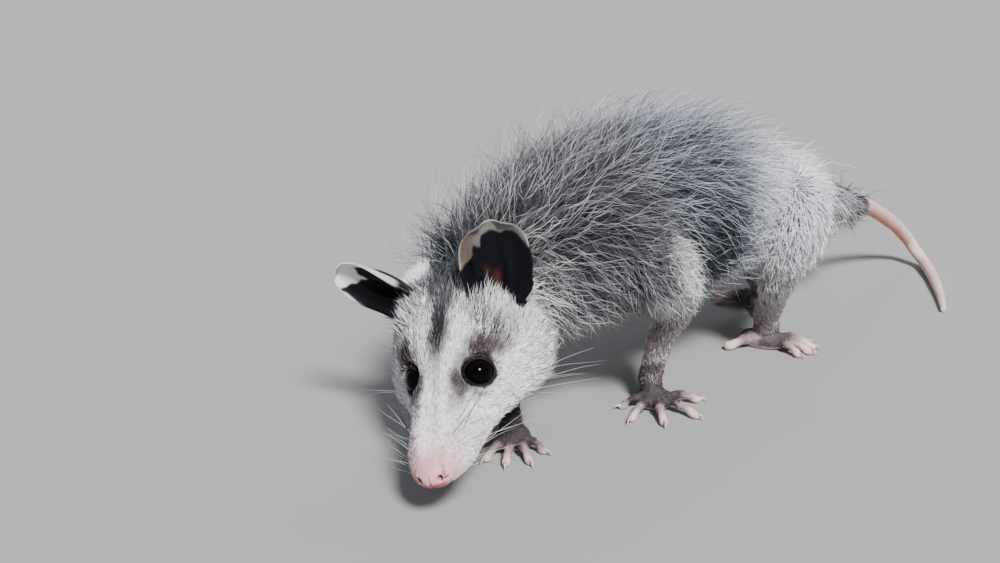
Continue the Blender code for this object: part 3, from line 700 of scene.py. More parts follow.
for name, spec in EARS.items():
    tool = joined([ear_form(spec)], name + "_form")
    cut = skin.modifiers.new("ear", "BOOLEAN")
    cut.operation, cut.object = "UNION", tool
    cut.solver = "MANIFOLD"
    before = len(skin.data.polygons)
    settle(skin)
    print("ear union", before, len(skin.data.polygons))
    bpy.data.objects.remove(tool, do_unlink=True)

# ------------------------------------------------------------ where a point is
SPINE_KNOTS, SPINE_ROWS = spine(True)
SPINE_LEN = SPINE_KNOTS[-1]
HEAD_START = SPINE_KNOTS[len(TRUNK)]
_at = np.linspace(0, SPINE_LEN, 150)
_sq = smooth_rows(SPINE_KNOTS, SPINE_ROWS, _at)
_sax = [axes(q[3], q[4], q[5]) for q in _sq]
_sfwd = np.array([a[0] for a in _sax])
_sleft = np.array([a[1] for a in _sax])
_sup = np.array([a[2] for a in _sax])


def nearest(points, line):
    best = np.full(len(points), 1e18)
    pick = np.zeros(len(points), int)
    for i, c in enumerate(line):
        d = ((points - c) ** 2).sum(1)
        m = d < best
        best[m] = d[m]
        pick[m] = i
    return pick, np.sqrt(best)


PATHS = {}
for _name, _rows in LEGS.items():
    PATHS[_name] = tube_path(_rows, 3.0)
PATHS["tail"] = tube_path(TAIL, 3.0)


class Where:
    """Which part each point belongs to, and its place along and round it."""

    def __init__(self, p):
        self.p = p
        n = len(p)
        k, _ = nearest(p, _sq[:, :3])
        d = p - _sq[k, :3]
        self.k = k
        self.s = _at[k]
        lx = (d * _sleft[k]).sum(1)
        lz = (d * _sup[k]).sum(1)
        self.angle = np.arctan2(lz, lx)
        self.rho = np.hypot(lx / _sq[k, 6], lz / np.where(lz >= 0, _sq[k, 7], _sq[k, 8]))
        self.rho = self.rho + 6.0 * ((k == 0) & ((d * _sfwd[k]).sum(1) < -1.0))
        self.sidedness = lx / np.maximum(np.hypot(lx, lz), 1e-6)
        self.topness = lz / np.maximum(np.hypot(lx, lz), 1e-6)
        self.fwd, self.up, self.left = _sfwd[k], _sup[k], _sleft[k]
        self.rel = {}
        part = np.zeros(n, int)
        best = self.rho.copy()
        for i, (name, (at, q, way)) in enumerate(PATHS.items()):
            j, dist = nearest(p, q[:, :3])
            rad = 0.5 * (q[j, 3] + q[j, 4])
            r = dist / rad
            self.rel[name] = (j, r, at[j] / at[-1], way[j])
            m = r < np.where(self.rho > 1.12, best, best - 0.25)
            part[m] = i + 1
            best[m] = r[m]
        low = p[:, 2] < 14
        for i, (name, spec) in enumerate(FEET.items()):
            leg = np.array(LEGS[name.replace("foot", "leg")][-1][:3])
            s = np.array([*spec["sole"], 3.0])
            m = low & (np.linalg.norm(p[:, :2] - s[:2], axis=1) < 42) & (p[:, 2] < leg[2] - 1.0) \
                & (part != 5)
            dist = np.linalg.norm(p[:, :2] - s[:2], axis=1)
            part[m] = 6 + i
        self.part = part
        self.head = to_head(p)
        self.is_head = (part == 0) & (self.s > HEAD_START - 1)
        # ears stand clear of the head
        self.ear = np.zeros(n, int)
        self.ear_v = np.zeros(n)
        self.ear_u = np.zeros(n)
        for i, (name, spec) in enumerate(EARS.items()):
            base, rise, opens, wide = ear_basis(spec)
            e = p - base
            ex, ey, ez = e @ wide, e @ rise, e @ opens
            v = np.clip(ey / EAR_HEIGHT + 0.10, 0, 1)
            half = ear_half_width(v) * spec["slim"]
            u = np.clip(ex / half, -1.15, 1.15)
            cup = (1 - 0.62 * v) * 9.0 * (u * u - 0.55) + 3.5 * v * v
            m = (np.abs(ez - cup) < 4.0) & (np.abs(ex) < half * 1.14) & (ey > -6) \
                & (ey < EAR_HEIGHT * 1.02) & (self.s > HEAD_START - 20) & (self.rho > 0.98)
            self.ear[m] = i + 1
            self.ear_v[m] = v[m]
            self.ear_u[m] = u[m] * spec["side"]


# ------------------------------------------------------------ markings
def mix(a, b, w):
    return a + (np.asarray(b, float) - a) * np.asarray(w)[:, None]


def patch(d, size):
    """1 near the middle of a patch, fading to 0 beyond its size."""
    return step01(1.45, 0.55, d / size)


def eye_distance(h):
    d = np.full(len(h), 99.0)
    for s in (1, -1):
        c = np.array((EYE_CENTRE[0], EYE_CENTRE[1] * s, EYE_CENTRE[2])) + EYE_LOOK[s] * 4.5
        d = np.minimum(d, np.linalg.norm(h - c, axis=1))
    return d


def face_colour(h, seed=3):
    """White face with its dark stripe, eye patches and specks, in the head frame."""
    n = len(h)
    x, y, z = h.T
    ay = np.abs(y)
    c = np.tile(np.array((0.925, 0.93, 0.985)), (n, 1))
    jag = wavy(h, 7, seed) * 1.6 + wavy(h, 3, seed + 1) * 0.8
    # greyer towards the nape and under the ears
    c = mix(c, (0.30, 0.30, 0.34), step01(10, -6, x + jag) * step01(8, 20, z) * step01(24, 15, ay) * 0.80)
    c = mix(c, (0.70, 0.66, 0.64), bump(x, 30, 12) * step01(22, 32, ay) * step01(6, 16, z) * 0.35)
    # crown stripe, widest between the ears, a darker core on the brow
    wide = np.interp(x, (-6, 6, 20, 32, 46, 60, 74), (11, 9.2, 6.8, 4.4, 2.9, 2.0, 1.2))
    strong = np.interp(x, (-8, 8, 24, 34, 45, 52, 62, 76, 86), (0.92, 0.93, 0.86, 0.90, 0.92, 0.66, 0.34, 0.16, 0.0))
    stripe = step01(wide + 2.6, wide - 1.0, np.abs(y + 0.2 + jag * 0.8)) * np.minimum(strong * 1.08, 1) * step01(8, 14, z)
    core = bump(x, 45, 9.0) * bump(y - 0.2, 0, 2.8) * step01(12, 20, z)
    c = mix(c, (0.030, 0.031, 0.042), np.clip(stripe * (0.97 + 0.06 * jag), 0, 1))
    c = mix(c, (0.012, 0.009, 0.009), np.clip(core * 1.5, 0, 1))
    # mauve-brown patches over the eyes
    for cx, cy, cz, rr, st in ((48.0, 17.5, 20.5, 6.6, 1.0), (44.0, 22.0, 18.8, 6.6, 0.95),
                               (38.5, 26.5, 17.5, 6.0, 0.50)):
        d = np.sqrt((x - cx) ** 2 + (ay - cy) ** 2 + (z - cz) ** 2)
        c = mix(c, (0.065, 0.040, 0.045), np.clip(patch(d + 0.8 * jag, rr) * st, 0, 1))
    # smudge ahead of the eye and under it
    for cx, cy, cz, rr, st in ((66.0, 10.5, 15.8, 4.8, 0.95), (62.3, 9.0, 18.8, 3.8, 0.90),
                               (64.5, 16.5, 10.0, 3.6, 0.55), (72.5, 9.2, 14.0, 3.8, 0.45)):
        d = np.sqrt((x - cx) ** 2 + (ay - cy) ** 2 + (z - cz) ** 2)
        c = mix(c, (0.085, 0.062, 0.072), np.clip(patch(d + 0.5 * jag, rr) * st, 0, 1))
    # the fur darkens towards the lids, whose rims are black
    gap = lid_gap(h)
    wide = np.full(n, 2.6)
    for s in (1, -1):
        ctr, look, along, across = eye_frame(s)
        a, b = (h - ctr) @ along, (h - ctr) @ across
        r = np.maximum(np.hypot(a, b), 1e-6)
        wide = np.where(np.sign(y) == s, 2.9 + 2.6 * step01(0.2, -1.0, a / r) + 1.6 * step01(0.0, 1.0, b / r), wide)
    c = mix(c, (0.055, 0.038, 0.042), np.exp(-(np.maximum(gap, 0) / wide) ** 2) * (gap < 20) * 0.95)
    c = mix(c, (0.010, 0.008, 0.009), step01(2.3, 1.2, gap + 0.25 * jag))
    # roots of the whiskers show as small dark specks
    for cx, cy, cz in ((87.5, 8.2, 10.0), (93.6, 6.0, 8.7), (86.0, 11.2, 8.8), (91.0, 9.4, 8.2),
                       (96.0, 5.8, 7.4), (90.0, 12.0, 6.0), (81.5, 10.5, 11.8), (83.8, 13.2, 7.6),
                       (77.7, 7.1, 14.0), (94.5, 9.8, 4.6)):
        d = np.sqrt((x - cx) ** 2 + (ay - cy) ** 2 + (z - cz) ** 2)
        c = mix(c, (0.05, 0.04, 0.05), np.exp(-(d / 1.25) ** 2) * 0.9)
    # pink skin shines through the short fur towards the nose, on lips and chin
    c = mix(c, (0.82, 0.62, 0.66), step01(78, 95, x) * 0.60)
    c = mix(c, (0.70, 0.38, 0.42), step01(92.0, 99.5, x) * 0.78)
    # partly pink skin through the short fur, partly painted shade: mauve along the upper sides of the muzzle
    c = mix(c, (0.60, 0.42, 0.50), bump(x, 84, 9) * step01(6.5, 9.5, ay) * step01(2, 6, z) * 0.35)
    c = mix(c, (0.62, 0.36, 0.37), step01(60, 80, x) * step01(-5.0, -7.5, z) * 0.45)
    return np.clip(c, 0, 1)


def cream_band(w):
    """Pale, woolly edge behind the shoulder, down to the elbow."""
    px, py, pz = w.p.T
    jag = wavy(w.p, 22, 11) * 0.5 + wavy(w.p, 9, 12) * 0.35
    mid = np.where(py >= 0, 49, 85) + 0.10 * (pz - 75)
    return step01(1.4, 0.6, np.sqrt(((px - mid - 3 * jag) / 13.0) ** 2 + ((pz - 72) / 27) ** 2)) \
        * step01(22, 34, np.abs(py))


def collar_band(w):
    """The white of the cheeks where it runs back behind and below the ears."""
    jag = wavy(w.p, 22, 11) * 0.5 + wavy(w.p, 9, 12) * 0.35
    return step01(HEAD_START - 26, HEAD_START - 14, w.s + 4 * jag) * step01(0.30, 0.60, np.abs(w.sidedness)) \
        * step01(-0.75, -0.45, w.topness) * (w.part == 0)


def body_colours(w):
    """Guard-hair tip, guard-hair root and underfur colours at each point."""
    n = len(w.p)
    p = w.p
    px, py, pz = p.T
    jag = wavy(p, 22, 11) * 0.5 + wavy(p, 9, 12) * 0.35
    back = step01(-0.1, 0.9, w.topness)
    flankward = step01(0.95, 0.55, w.topness)
    tip = np.tile(np.array((0.74, 0.78, 0.92)), (n, 1))
    root = np.tile(np.array((0.052, 0.059, 0.084)), (n, 1))
    under = np.tile(np.array((0.032, 0.035, 0.048)), (n, 1))
    ridge = step01(0.55, 0.98, w.topness) * step01(-75, -45, px) * (w.part == 0)
    tip = mix(tip, (0.50, 0.52, 0.58), ridge * 0.75)
    # neck and shoulders: duller, browner and darker
    nape = step01(190, 235, w.s) * (1 - step01(HEAD_START - 14, HEAD_START + 6, w.s))
    tip = mix(tip, (0.60, 0.59, 0.60), nape * 0.60)
    root = mix(root, (0.070, 0.066, 0.070), nape * 0.8)
    under = mix(under, (0.045, 0.041, 0.044), nape * 0.7)
    # the white of the cheeks runs back behind and below the ears
    collar = collar_band(w)
    # lower shoulder and neck side: greyer and woollier
    low = step01(200, 225, w.s) * step01(0.45, -0.15, w.topness)
    under = mix(under, (0.12, 0.117, 0.13), low * 0.7)
    root = mix(root, (0.19, 0.187, 0.205), low * 0.7)
    tip = mix(tip, (0.50, 0.51, 0.56), low * 0.5)
    # pale rump and thigh
    rump = step01(3, -36, px + 9 * jag) * step01(-152, -142, px) * step01(0.995, 0.75, w.topness + 0.05 * jag) \
        * step01(44, 58, pz)
    tip = mix(tip, (0.91, 0.94, 1.0), rump)
    root = mix(root, (0.86, 0.88, 0.95), rump * 0.95)
    under = mix(under, (0.70, 0.71, 0.78), rump * 0.95)
    # the ridge of the back behind the shoulders is frosted
    frost = step01(20, -10, px) * step01(-110, -80, px) * (1 - rump)
    root = mix(root, (0.12, 0.12, 0.15), frost * 0.5)
    # the hind end is pale too, but thinner
    end = step01(-70, -95, px) * flankward
    root = mix(root, (0.30, 0.30, 0.34), end * 0.5)
    under = mix(under, (0.16, 0.16, 0.19), end * 0.5)
    # cream edge behind the shoulder, down to the elbow
    cream = cream_band(w)
    tip = mix(tip, (0.94, 0.925, 0.915), cream)
    root = mix(root, (0.90, 0.88, 0.87), cream * 0.97)
    under = mix(under, (0.70, 0.68, 0.67), cream * 0.97)
    # painted shadow: the flank darkened in the gap between the elbow and the thigh
    flank_shadow = np.exp(-((px - 13 - 3 * jag) / 13) ** 2) * step01(112, 96, pz) * flankward * (1 - cream)
    tip = mix(tip, (0.56, 0.56, 0.61), flank_shadow * 0.6)
    root = mix(root, (0.030, 0.032, 0.042), flank_shadow * 0.95)
    under = mix(under, (0.016, 0.018, 0.026), flank_shadow * 0.95)
    tip = mix(tip, (0.93, 0.92, 0.94), collar)
    root = mix(root, (0.70, 0.69, 0.71), collar)
    under = mix(under, (0.60, 0.59, 0.61), collar)
    # belly: paler, a little brown
    belly = step01(-0.55, -0.9, w.topness)
    tip = mix(tip, (0.74, 0.70, 0.66), belly * 0.7)
    root = mix(root, (0.30, 0.26, 0.24), belly * 0.6)
    under = mix(under, (0.12, 0.10, 0.09), belly * 0.7)
    # the limbs' own colours take over down the legs
    for i, name in enumerate(LEGS):
        m = (w.part == i + 1) * step01(0.34, 0.58, w.rel[name][2])
        if m.any():
            lt, lr = leg_colours(w, name)
            tip = mix(tip, lt, m)
            root = mix(root, lr, m)
            under = mix(under, lr * 0.7, m)
    # dark fur at the root of the tail
    tail = np.maximum(step01(20, 5, w.s + 4 * jag), step01(36, 12, w.s + 6 * jag) * step01(0.1, 0.7, w.topness) * 0.8)
    tip = mix(tip, (0.24, 0.24, 0.26), tail * 0.75)
    root = mix(root, (0.045, 0.045, 0.052), tail * 0.9)
    under = mix(under, (0.028, 0.028, 0.034), tail * 0.9)
    shade = (1 + 0.14 * jag)[:, None]
    return np.clip(tip * shade, 0, 1), np.clip(root * shade, 0, 1), np.clip(under * shade, 0, 1)


def leg_colours(w, name):
    """Tip and root colours of the short fur on one leg."""
    j, r, t, way = w.rel[name]
    n = len(w.p)
    p = w.p
    front = name.startswith("fore")
    jag = wavy(p, 8, 21) * 0.05
    line = PATHS[name][1][j]
    rear = step01(3.5, -1.5, p[:, 0] - line[:, 0] + 20 * jag)
    if front:
        tip = np.tile(np.array((0.68, 0.63, 0.65)), (n, 1))
        tip = mix(tip, (0.46, 0.405, 0.425), step01(0.68, 0.84, t + jag))
        tip = mix(tip, (0.090, 0.074, 0.080), step01(0.86, 1.0, t + jag))
        tip = mix(tip, (0.15, 0.13, 0.14), step01(4.5, 8.5, p[:, 0] - line[:, 0]) * step01(0.55, 0.68, t) * 0.7)
        tip = mix(tip, (0.94, 0.90, 0.89), rear * (1 - step01(0.86, 0.97, t)) * 0.95)
        tip = mix(tip, (0.56, 0.55, 0.58), step01(0.42, 0.2, t) * 0.7)
        root = tip * 0.52
        root = mix(root, (0.60, 0.57, 0.56), rear * (1 - step01(0.80, 0.94, t)) * 0.8)
    else:
        tip = np.tile(np.array((0.90, 0.90, 0.95)), (n, 1))
        tip = mix(tip, (0.72, 0.67, 0.71), step01(0.60, 0.76, t + jag))
        tip = mix(tip, (0.50, 0.43, 0.46), step01(0.76, 0.92, t + jag))
        tip = mix(tip, (0.24, 0.19, 0.21), step01(0.93, 1.0, t + jag))
        tip = mix(tip, (0.16, 0.135, 0.15), step01(4.0, 8.0, p[:, 0] - line[:, 0]) * step01(0.5, 0.75, t) * 0.6)
        root = tip * 0.52
    return np.clip(tip, 0, 1), np.clip(root, 0, 1)


def foot_colour(w, k):
    """Dark top of the foot, pink digits and soles."""
    name = list(FEET)[k]
    spec = FEET[name]
    p = w.p
    n = len(p)
    h = radians(spec["heading"])
    d = p[:, :2] - np.array(spec["sole"])
    reach = np.linalg.norm(d, axis=1)
    jag = wavy(p, 4, 31 + k)
    dark = np.array((0.050, 0.040, 0.043)) if name.startswith("fore") else np.array((0.080, 0.062, 0.070))
    c = np.tile(dark, (n, 1))
    tipness = step01(11.5, 17.5, reach + 0.8 * jag)
    mauve = np.array((0.34, 0.245, 0.265))
    c = mix(c, mauve, tipness)
    c = mix(c, (0.80, 0.58, 0.56), step01(17.5, 23.5, reach))
    if not name.startswith("fore"):
        # the thumb-like first toe and the inner pad are pink all along
        a = radians(spec["digits"][0][0])
        u = np.array([cos(a), sin(a)])
        along = d @ u
        off = np.abs(d @ np.array([-u[1], u[0]]))
        c = mix(c, (0.30, 0.235, 0.265), step01(5.5, 3.5, off) * step01(1, 7, along))
        c = mix(c, (0.80, 0.58, 0.55), step01(5.5, 3.5, off) * step01(14, 20, along))
    c = mix(c, (0.66, 0.48, 0.46), step01(3.0, 1.2, p[:, 2] + 0.3 * jag))
    # painted shade in the creases between the pads
    c = c * (1 - 0.12 * (0.5 + 0.5 * np.sin(reach * 3.1)) * tipness)[:, None]
    return np.clip(c, 0, 1)


def tail_colour(w):
    j, r, t, way = w.rel["tail"]
    p = w.p
    n = len(p)
    jag = wavy(p, 9, 41)
    c = np.tile(np.array((0.74, 0.55, 0.52)), (n, 1))
    c = mix(c, (0.040, 0.037, 0.040), step01(0.122, 0.100, t + 0.006 * jag))
    under = step01(0.4, -0.9, (p[:, 2] - PATHS["tail"][1][j, 2]) / PATHS["tail"][1][j, 3])
    c = mix(c, (0.62, 0.22, 0.15), under * step01(0.13, 0.2, t) * step01(0.75, 0.5, t) * 0.80)
    c = mix(c, (0.74, 0.60, 0.56), step01(0.45, 0.95, t) * 0.6)
    return np.clip(c * (1 + 0.07 * jag)[:, None], 0, 1)


def ear_colour(w):
    """Black ears with a pale rim round the top and a warm canal."""
    n = len(w.p)
    v, u = w.ear_v, w.ear_u
    jag = wavy(w.p, 7, 51)
    c = np.tile(np.array((0.003, 0.003, 0.005)), (n, 1))
    # way round the rim, in degrees: 0 outer side, 90 top, 180 inner side
    turn = np.degrees(np.arctan2(v - 0.42, u * 0.45))
    turn = np.where(turn < -90, turn + 360, turn)
    edge = np.minimum(1 - v, (1 - np.abs(u)) * 0.5)
    reach = np.interp(turn, (22, 34, 54, 76, 92, 116, 138, 154, 168),
                      (0.0, 0.05, 0.16, 0.14, 0.12, 0.25, 0.24, 0.10, 0.0))
    right = w.ear == 2
    reach2 = np.interp(turn, (5, 30, 52, 75, 95, 120, 150, 180, 200, 215),
                       (0.0, 0.02, 0.10, 0.26, 0.34, 0.26, 0.09, 0.045, 0.03, 0.0))
    reach = np.where(right, reach2, reach) * (1 + 0.12 * jag)
    pale = step01(reach + 0.022, reach - 0.022, edge) * step01(0.005, 0.03, reach)
    c = mix(c, (0.15, 0.145, 0.14), np.clip(pale, 0, 1))
    c = mix(c, (0.085, 0.060, 0.048), np.clip(pale * bump(turn, 142, 24) * (~right) * 0.9, 0, 1))
    c = mix(c, (0.80, 0.79, 0.81), np.clip(pale * right * 0.85, 0, 1))
    c = mix(c, (0.40, 0.39, 0.38), np.clip(pale * step01(0.024, 0.010, edge) * 0.7, 0, 1))
    canal = np.exp(-((v - 0.28) / 0.11) ** 2 - ((u - 0.06) / 0.13) ** 2) * (0.8 + 0.3 * wavy(w.p, 3, 52))
    c = mix(c, (0.080, 0.020, 0.013), np.clip(canal, 0, 1) * 0.85)
    c = mix(c, (0.050, 0.022, 0.014), np.clip(np.exp(-((v - 0.40) / 0.07) ** 2 - ((u + 0.20) / 0.09) ** 2), 0, 1) * 0.6)
    return c


def skin_colours(w):
    n = len(w.p)
    tip, root, under = body_colours(w)
    c = under * 0.9 + root * 0.1
    scaly = np.zeros(n)
    face = step01(HEAD_START - 16, HEAD_START + 8, w.s) * (w.part == 0)
    fc = face_colour(w.head)
    # skin of the face shows pink-grey under white fur
    c = mix(c, np.zeros(3), 0 * face)
    c = c * (1 - face[:, None]) + (fc * 0.80) * face[:, None]
    for i, name in enumerate(LEGS):
        m = w.part == i + 1
        t_, r_ = leg_colours(w, name)
        c[m] = (r_[m] * 0.7 + t_[m] * 0.15)
        top = step01(0.42, 0.22, w.rel[name][2][m])
        c[m] = c[m] * (1 - top[:, None]) + under[m] * top[:, None]
    m = w.part == 5
    c[m] = tail_colour(w)[m]
    scaly[m] = step01(0.10, 0.14, w.rel["tail"][2][m])
    for k in range(4):
        m = w.part == 6 + k
        c[m] = foot_colour(w, k)[m]
        scaly[m] = 0.55
    m = w.ear > 0
    c[m] = ear_colour(w)[m]
    # nose pad
    x, y, z = w.head.T
    pad = np.sqrt(((x - 100.6) / 5.0) ** 2 + (y / 6.8) ** 2 + ((z - 0.9) / 4.8) ** 2)
    nose = step01(1.18, 1.06, pad) * step01(98.5, 100.5, x)
    c = mix(c, (0.66, 0.33, 0.36), nose)
    # the lower half of the pad and the lip are deep rose
    c = mix(c, (0.46, 0.085, 0.12), step01(0.8, -1.2, z + 0.25 * np.abs(y)) * step01(98.5, 101, x) * 0.85)
    for s in (1, -1):
        # painted shade: the nostril pits and the slits beside them are painted near black
        q = np.sqrt(((x - 102.8) / 3.0) ** 2 + ((y - 4.5 * s) / 1.2) ** 2 + ((z - 0.9) / 1.35) ** 2)
        c = mix(c, (0.03, 0.010, 0.012), np.exp(-q**4 * 1.3))
        q = np.sqrt(((x - 101.2) / 2.4) ** 2 + ((y - 6.0 * s) / 1.4) ** 2 + ((z - 0.2) / 0.75) ** 2)
        c = mix(c, (0.07, 0.02, 0.025), np.exp(-q**4) * 0.9)
        # painted shade: a mauve-red line up each side of the pad, where its lit top turns to the shaded side
        t = np.clip((x - 96.5) / 6.0, 0, 1)
        q = np.hypot(y - s * (4.6 + 1.6 * t), z - (7.2 - 4.8 * t))
        c = mix(c, (0.30, 0.08, 0.11), np.exp(-(q / 1.15) ** 2) * step01(95.5, 97.5, x) * step01(104, 102.5, x) * 0.85)
    # red-brown line of the mouth: partly the lips' own colour, partly painted shade in the crease between them
    line = np.interp(x, (50, 57, 66, 75, 88, 94.5, 98, 101), (-12.5, -9.9, -8.4, -7.6, -6.9, -6.4, -5.6, -5.2))
    crease = np.exp(-((z - line) / 0.7) ** 2) * step01(56, 62, x) * w.is_head
    c = mix(c, (0.20, 0.075, 0.06), crease * 0.85)
    # inside of the eye openings is black
    for s in (1, -1):
        ctr, look, along, across = eye_frame(s)
        d = w.head - ctr
        dep = d @ look
        a_, b_ = d @ along, d @ across
        r = np.hypot(a_, b_)
        hole = lid_opening(np.arctan2(b_, a_))
        m = np.clip(step01(hole + 1.6, hole + 0.7, r) * (dep > -3), 0, 1) * w.is_head
        c = mix(c, (0.012, 0.010, 0.012), m)
    return np.clip(c, 0, 1), scaly, nose


skin_pts = unplace(coords(skin.data))
skin_where = Where(skin_pts)
skin_col, skin_scaly, skin_nose = skin_colours(skin_where)


def set_colour(me, values, name="coat"):
    a = me.attributes.new(name, "FLOAT_COLOR", "POINT")
    a.data.foreach_set("color", np.c_[values, np.ones(len(values))].astype(np.float32).ravel())


def set_value(me, values, name):
    a = me.attributes.new(name, "FLOAT", "POINT")
    a.data.foreach_set("value", np.asarray(values, np.float32))


set_colour(skin.data, skin_col)
set_value(skin.data, skin_scaly, "scaly")
set_value(skin.data, skin_nose * 0.8 + (skin_where.ear > 0) * 0.85, "moist")
set_value(skin.data, np.maximum((skin_where.ear > 0) * 1.0, step01(3.0, 1.8, lid_gap(skin_where.head))), "thin")
skin.data.shade_smooth()


# ------------------------------------------------------------ materials
def material(name):
    mat = bpy.data.materials.new(name)
    mat.use_nodes = True
    nt = mat.node_tree
    bsdf = nt.nodes["Principled BSDF"]
    return mat, nt, bsdf


def node(nt, kind, **inputs):
    n = nt.nodes.new(kind)
    for k, v in inputs.items():
        n.inputs[k].default_value = v
    return n


def skin_material():
    mat, nt, bsdf = material("opossum_skin")
    link = nt.links.new
    col = nt.nodes.new("ShaderNodeAttribute")
    col.attribute_name = "coat"
    scaly = nt.nodes.new("ShaderNodeAttribute")
    scaly.attribute_name = "scaly"
    moist = nt.nodes.new("ShaderNodeAttribute")
    moist.attribute_name = "moist"
    pos = nt.nodes.new("ShaderNodeTexCoord")
    fine = node(nt, "ShaderNodeTexNoise", Scale=900.0, Detail=4.0, Roughness=0.6)
    link(pos.outputs["Object"], fine.inputs["Vector"])
    mott = nt.nodes.new("ShaderNodeMapRange")
    mott.inputs["From Min"].default_value = 0.3
    mott.inputs["From Max"].default_value = 0.7
    mott.inputs["To Min"].default_value = 0.80
    mott.inputs["To Max"].default_value = 1.12
    link(fine.outputs["Fac"], mott.inputs["Value"])
    mul = nt.nodes.new("ShaderNodeVectorMath")
    mul.operation = "SCALE"
    link(col.outputs["Color"], mul.inputs[0])
    link(mott.outputs["Result"], mul.inputs["Scale"])
    # small scales on the tail and the digits, with painted shade darkening the grooves between them
    cell = node(nt, "ShaderNodeTexVoronoi", Scale=850.0)
    cell.feature = "DISTANCE_TO_EDGE"
    link(pos.outputs["Object"], cell.inputs["Vector"])
    groove = nt.nodes.new("ShaderNodeMapRange")
    groove.inputs["From Max"].default_value = 0.16
    groove.inputs["To Min"].default_value = 0.0
    groove.inputs["To Max"].default_value = 1.0
    link(cell.outputs["Distance"], groove.inputs["Value"])
    # painted shade: the colour is darkened towards the grooves between the scales
    dark = nt.nodes.new("ShaderNodeMapRange")
    dark.inputs["To Min"].default_value = 0.80
    dark.inputs["To Max"].default_value = 1.0
    link(groove.outputs["Result"], dark.inputs["Value"])
    groove_shade_mix = nt.nodes.new("ShaderNodeMix")
    groove_shade_mix.data_type = "FLOAT"
    groove_shade_mix.inputs["A"].default_value = 1.0
    link(scaly.outputs["Fac"], groove_shade_mix.inputs["Factor"])
    link(dark.outputs["Result"], groove_shade_mix.inputs["B"])
    mul2 = nt.nodes.new("ShaderNodeVectorMath")
    mul2.operation = "SCALE"
    link(mul.outputs["Vector"], mul2.inputs[0])
    link(groove_shade_mix.outputs["Result"], mul2.inputs["Scale"])
    link(mul2.outputs["Vector"], bsdf.inputs["Base Color"])
    height = nt.nodes.new("ShaderNodeMath")
    height.operation = "MULTIPLY"
    link(groove.outputs["Result"], height.inputs[0])
    link(scaly.outputs["Fac"], height.inputs[1])
    bump1 = node(nt, "ShaderNodeBump", Strength=0.55, Distance=0.00035)
    link(height.outputs["Value"], bump1.inputs["Height"])
    bump2 = node(nt, "ShaderNodeBump", Strength=0.35, Distance=0.0003)
    link(fine.outputs["Fac"], bump2.inputs["Height"])
    link(bump1.outputs["Normal"], bump2.inputs["Normal"])
    link(bump2.outputs["Normal"], bsdf.inputs["Normal"])
    rough = nt.nodes.new("ShaderNodeMapRange")
    rough.inputs["To Min"].default_value = 0.68
    rough.inputs["To Max"].default_value = 0.34
    link(moist.outputs["Fac"], rough.inputs["Value"])
    link(rough.outputs["Result"], bsdf.inputs["Roughness"])
    thin = nt.nodes.new("ShaderNodeAttribute")
    thin.attribute_name = "thin"
    level = nt.nodes.new("ShaderNodeMapRange")
    level.inputs["To Min"].default_value = 0.45
    level.inputs["To Max"].default_value = 0.12
    link(thin.outputs["Fac"], level.inputs["Value"])
    link(level.outputs["Result"], bsdf.inputs["Specular IOR Level"])
    bsdf.inputs["Subsurface Weight"].default_value = 0.06
    bsdf.inputs["Subsurface Radius"].default_value = (0.0012, 0.0005, 0.0003)
    return mat


def coat_material(name, rough, sheen):
    mat, nt, bsdf = material(name)
    link = nt.links.new
    col = nt.nodes.new("ShaderNodeAttribute")
    col.attribute_name = "coat"
    pos = nt.nodes.new("ShaderNodeTexCoord")
    fine = node(nt, "ShaderNodeTexNoise", Scale=420.0, Detail=3.0, Roughness=0.6)
    link(pos.outputs["Object"], fine.inputs["Vector"])
    mott = nt.nodes.new("ShaderNodeMapRange")
    mott.inputs["From Min"].default_value = 0.3
    mott.inputs["From Max"].default_value = 0.7
    mott.inputs["To Min"].default_value = 0.84
    mott.inputs["To Max"].default_value = 1.12
    link(fine.outputs["Fac"], mott.inputs["Value"])
    mul = nt.nodes.new("ShaderNodeVectorMath")
    mul.operation = "SCALE"
    link(col.outputs["Color"], mul.inputs[0])
    link(mott.outputs["Result"], mul.inputs["Scale"])
    link(mul.outputs["Vector"], bsdf.inputs["Base Color"])
    bsdf.inputs["Roughness"].default_value = rough
    bsdf.inputs["Sheen Weight"].default_value = sheen
    bsdf.inputs["Sheen Roughness"].default_value = 0.5
    bsdf.inputs["Specular IOR Level"].default_value = 0.20
    return mat


def eye_material():
    mat, nt, bsdf = material("opossum_eye")
    link = nt.links.new
    col = nt.nodes.new("ShaderNodeAttribute")
    col.attribute_name = "coat"
    pos = nt.nodes.new("ShaderNodeTexCoord")
    fibre = node(nt, "ShaderNodeTexNoise", Scale=1400.0, Detail=3.0)
    link(pos.outputs["Object"], fibre.inputs["Vector"])
    mott = nt.nodes.new("ShaderNodeMapRange")
    mott.inputs["To Min"].default_value = 0.7
    mott.inputs["To Max"].default_value = 1.3
    link(fibre.outputs["Fac"], mott.inputs["Value"])
    mul = nt.nodes.new("ShaderNodeVectorMath")
    mul.operation = "SCALE"
    link(col.outputs["Color"], mul.inputs[0])
    link(mott.outputs["Result"], mul.inputs["Scale"])
    link(mul.outputs["Vector"], bsdf.inputs["Base Color"])
    bsdf.inputs["Roughness"].default_value = 0.07
    bsdf.inputs["Specular IOR Level"].default_value = 0.08
    bsdf.inputs["Coat Weight"].default_value = 0.06
    bsdf.inputs["Coat Roughness"].default_value = 0.03
    bsdf.inputs["IOR"].default_value = 1.36
    return mat


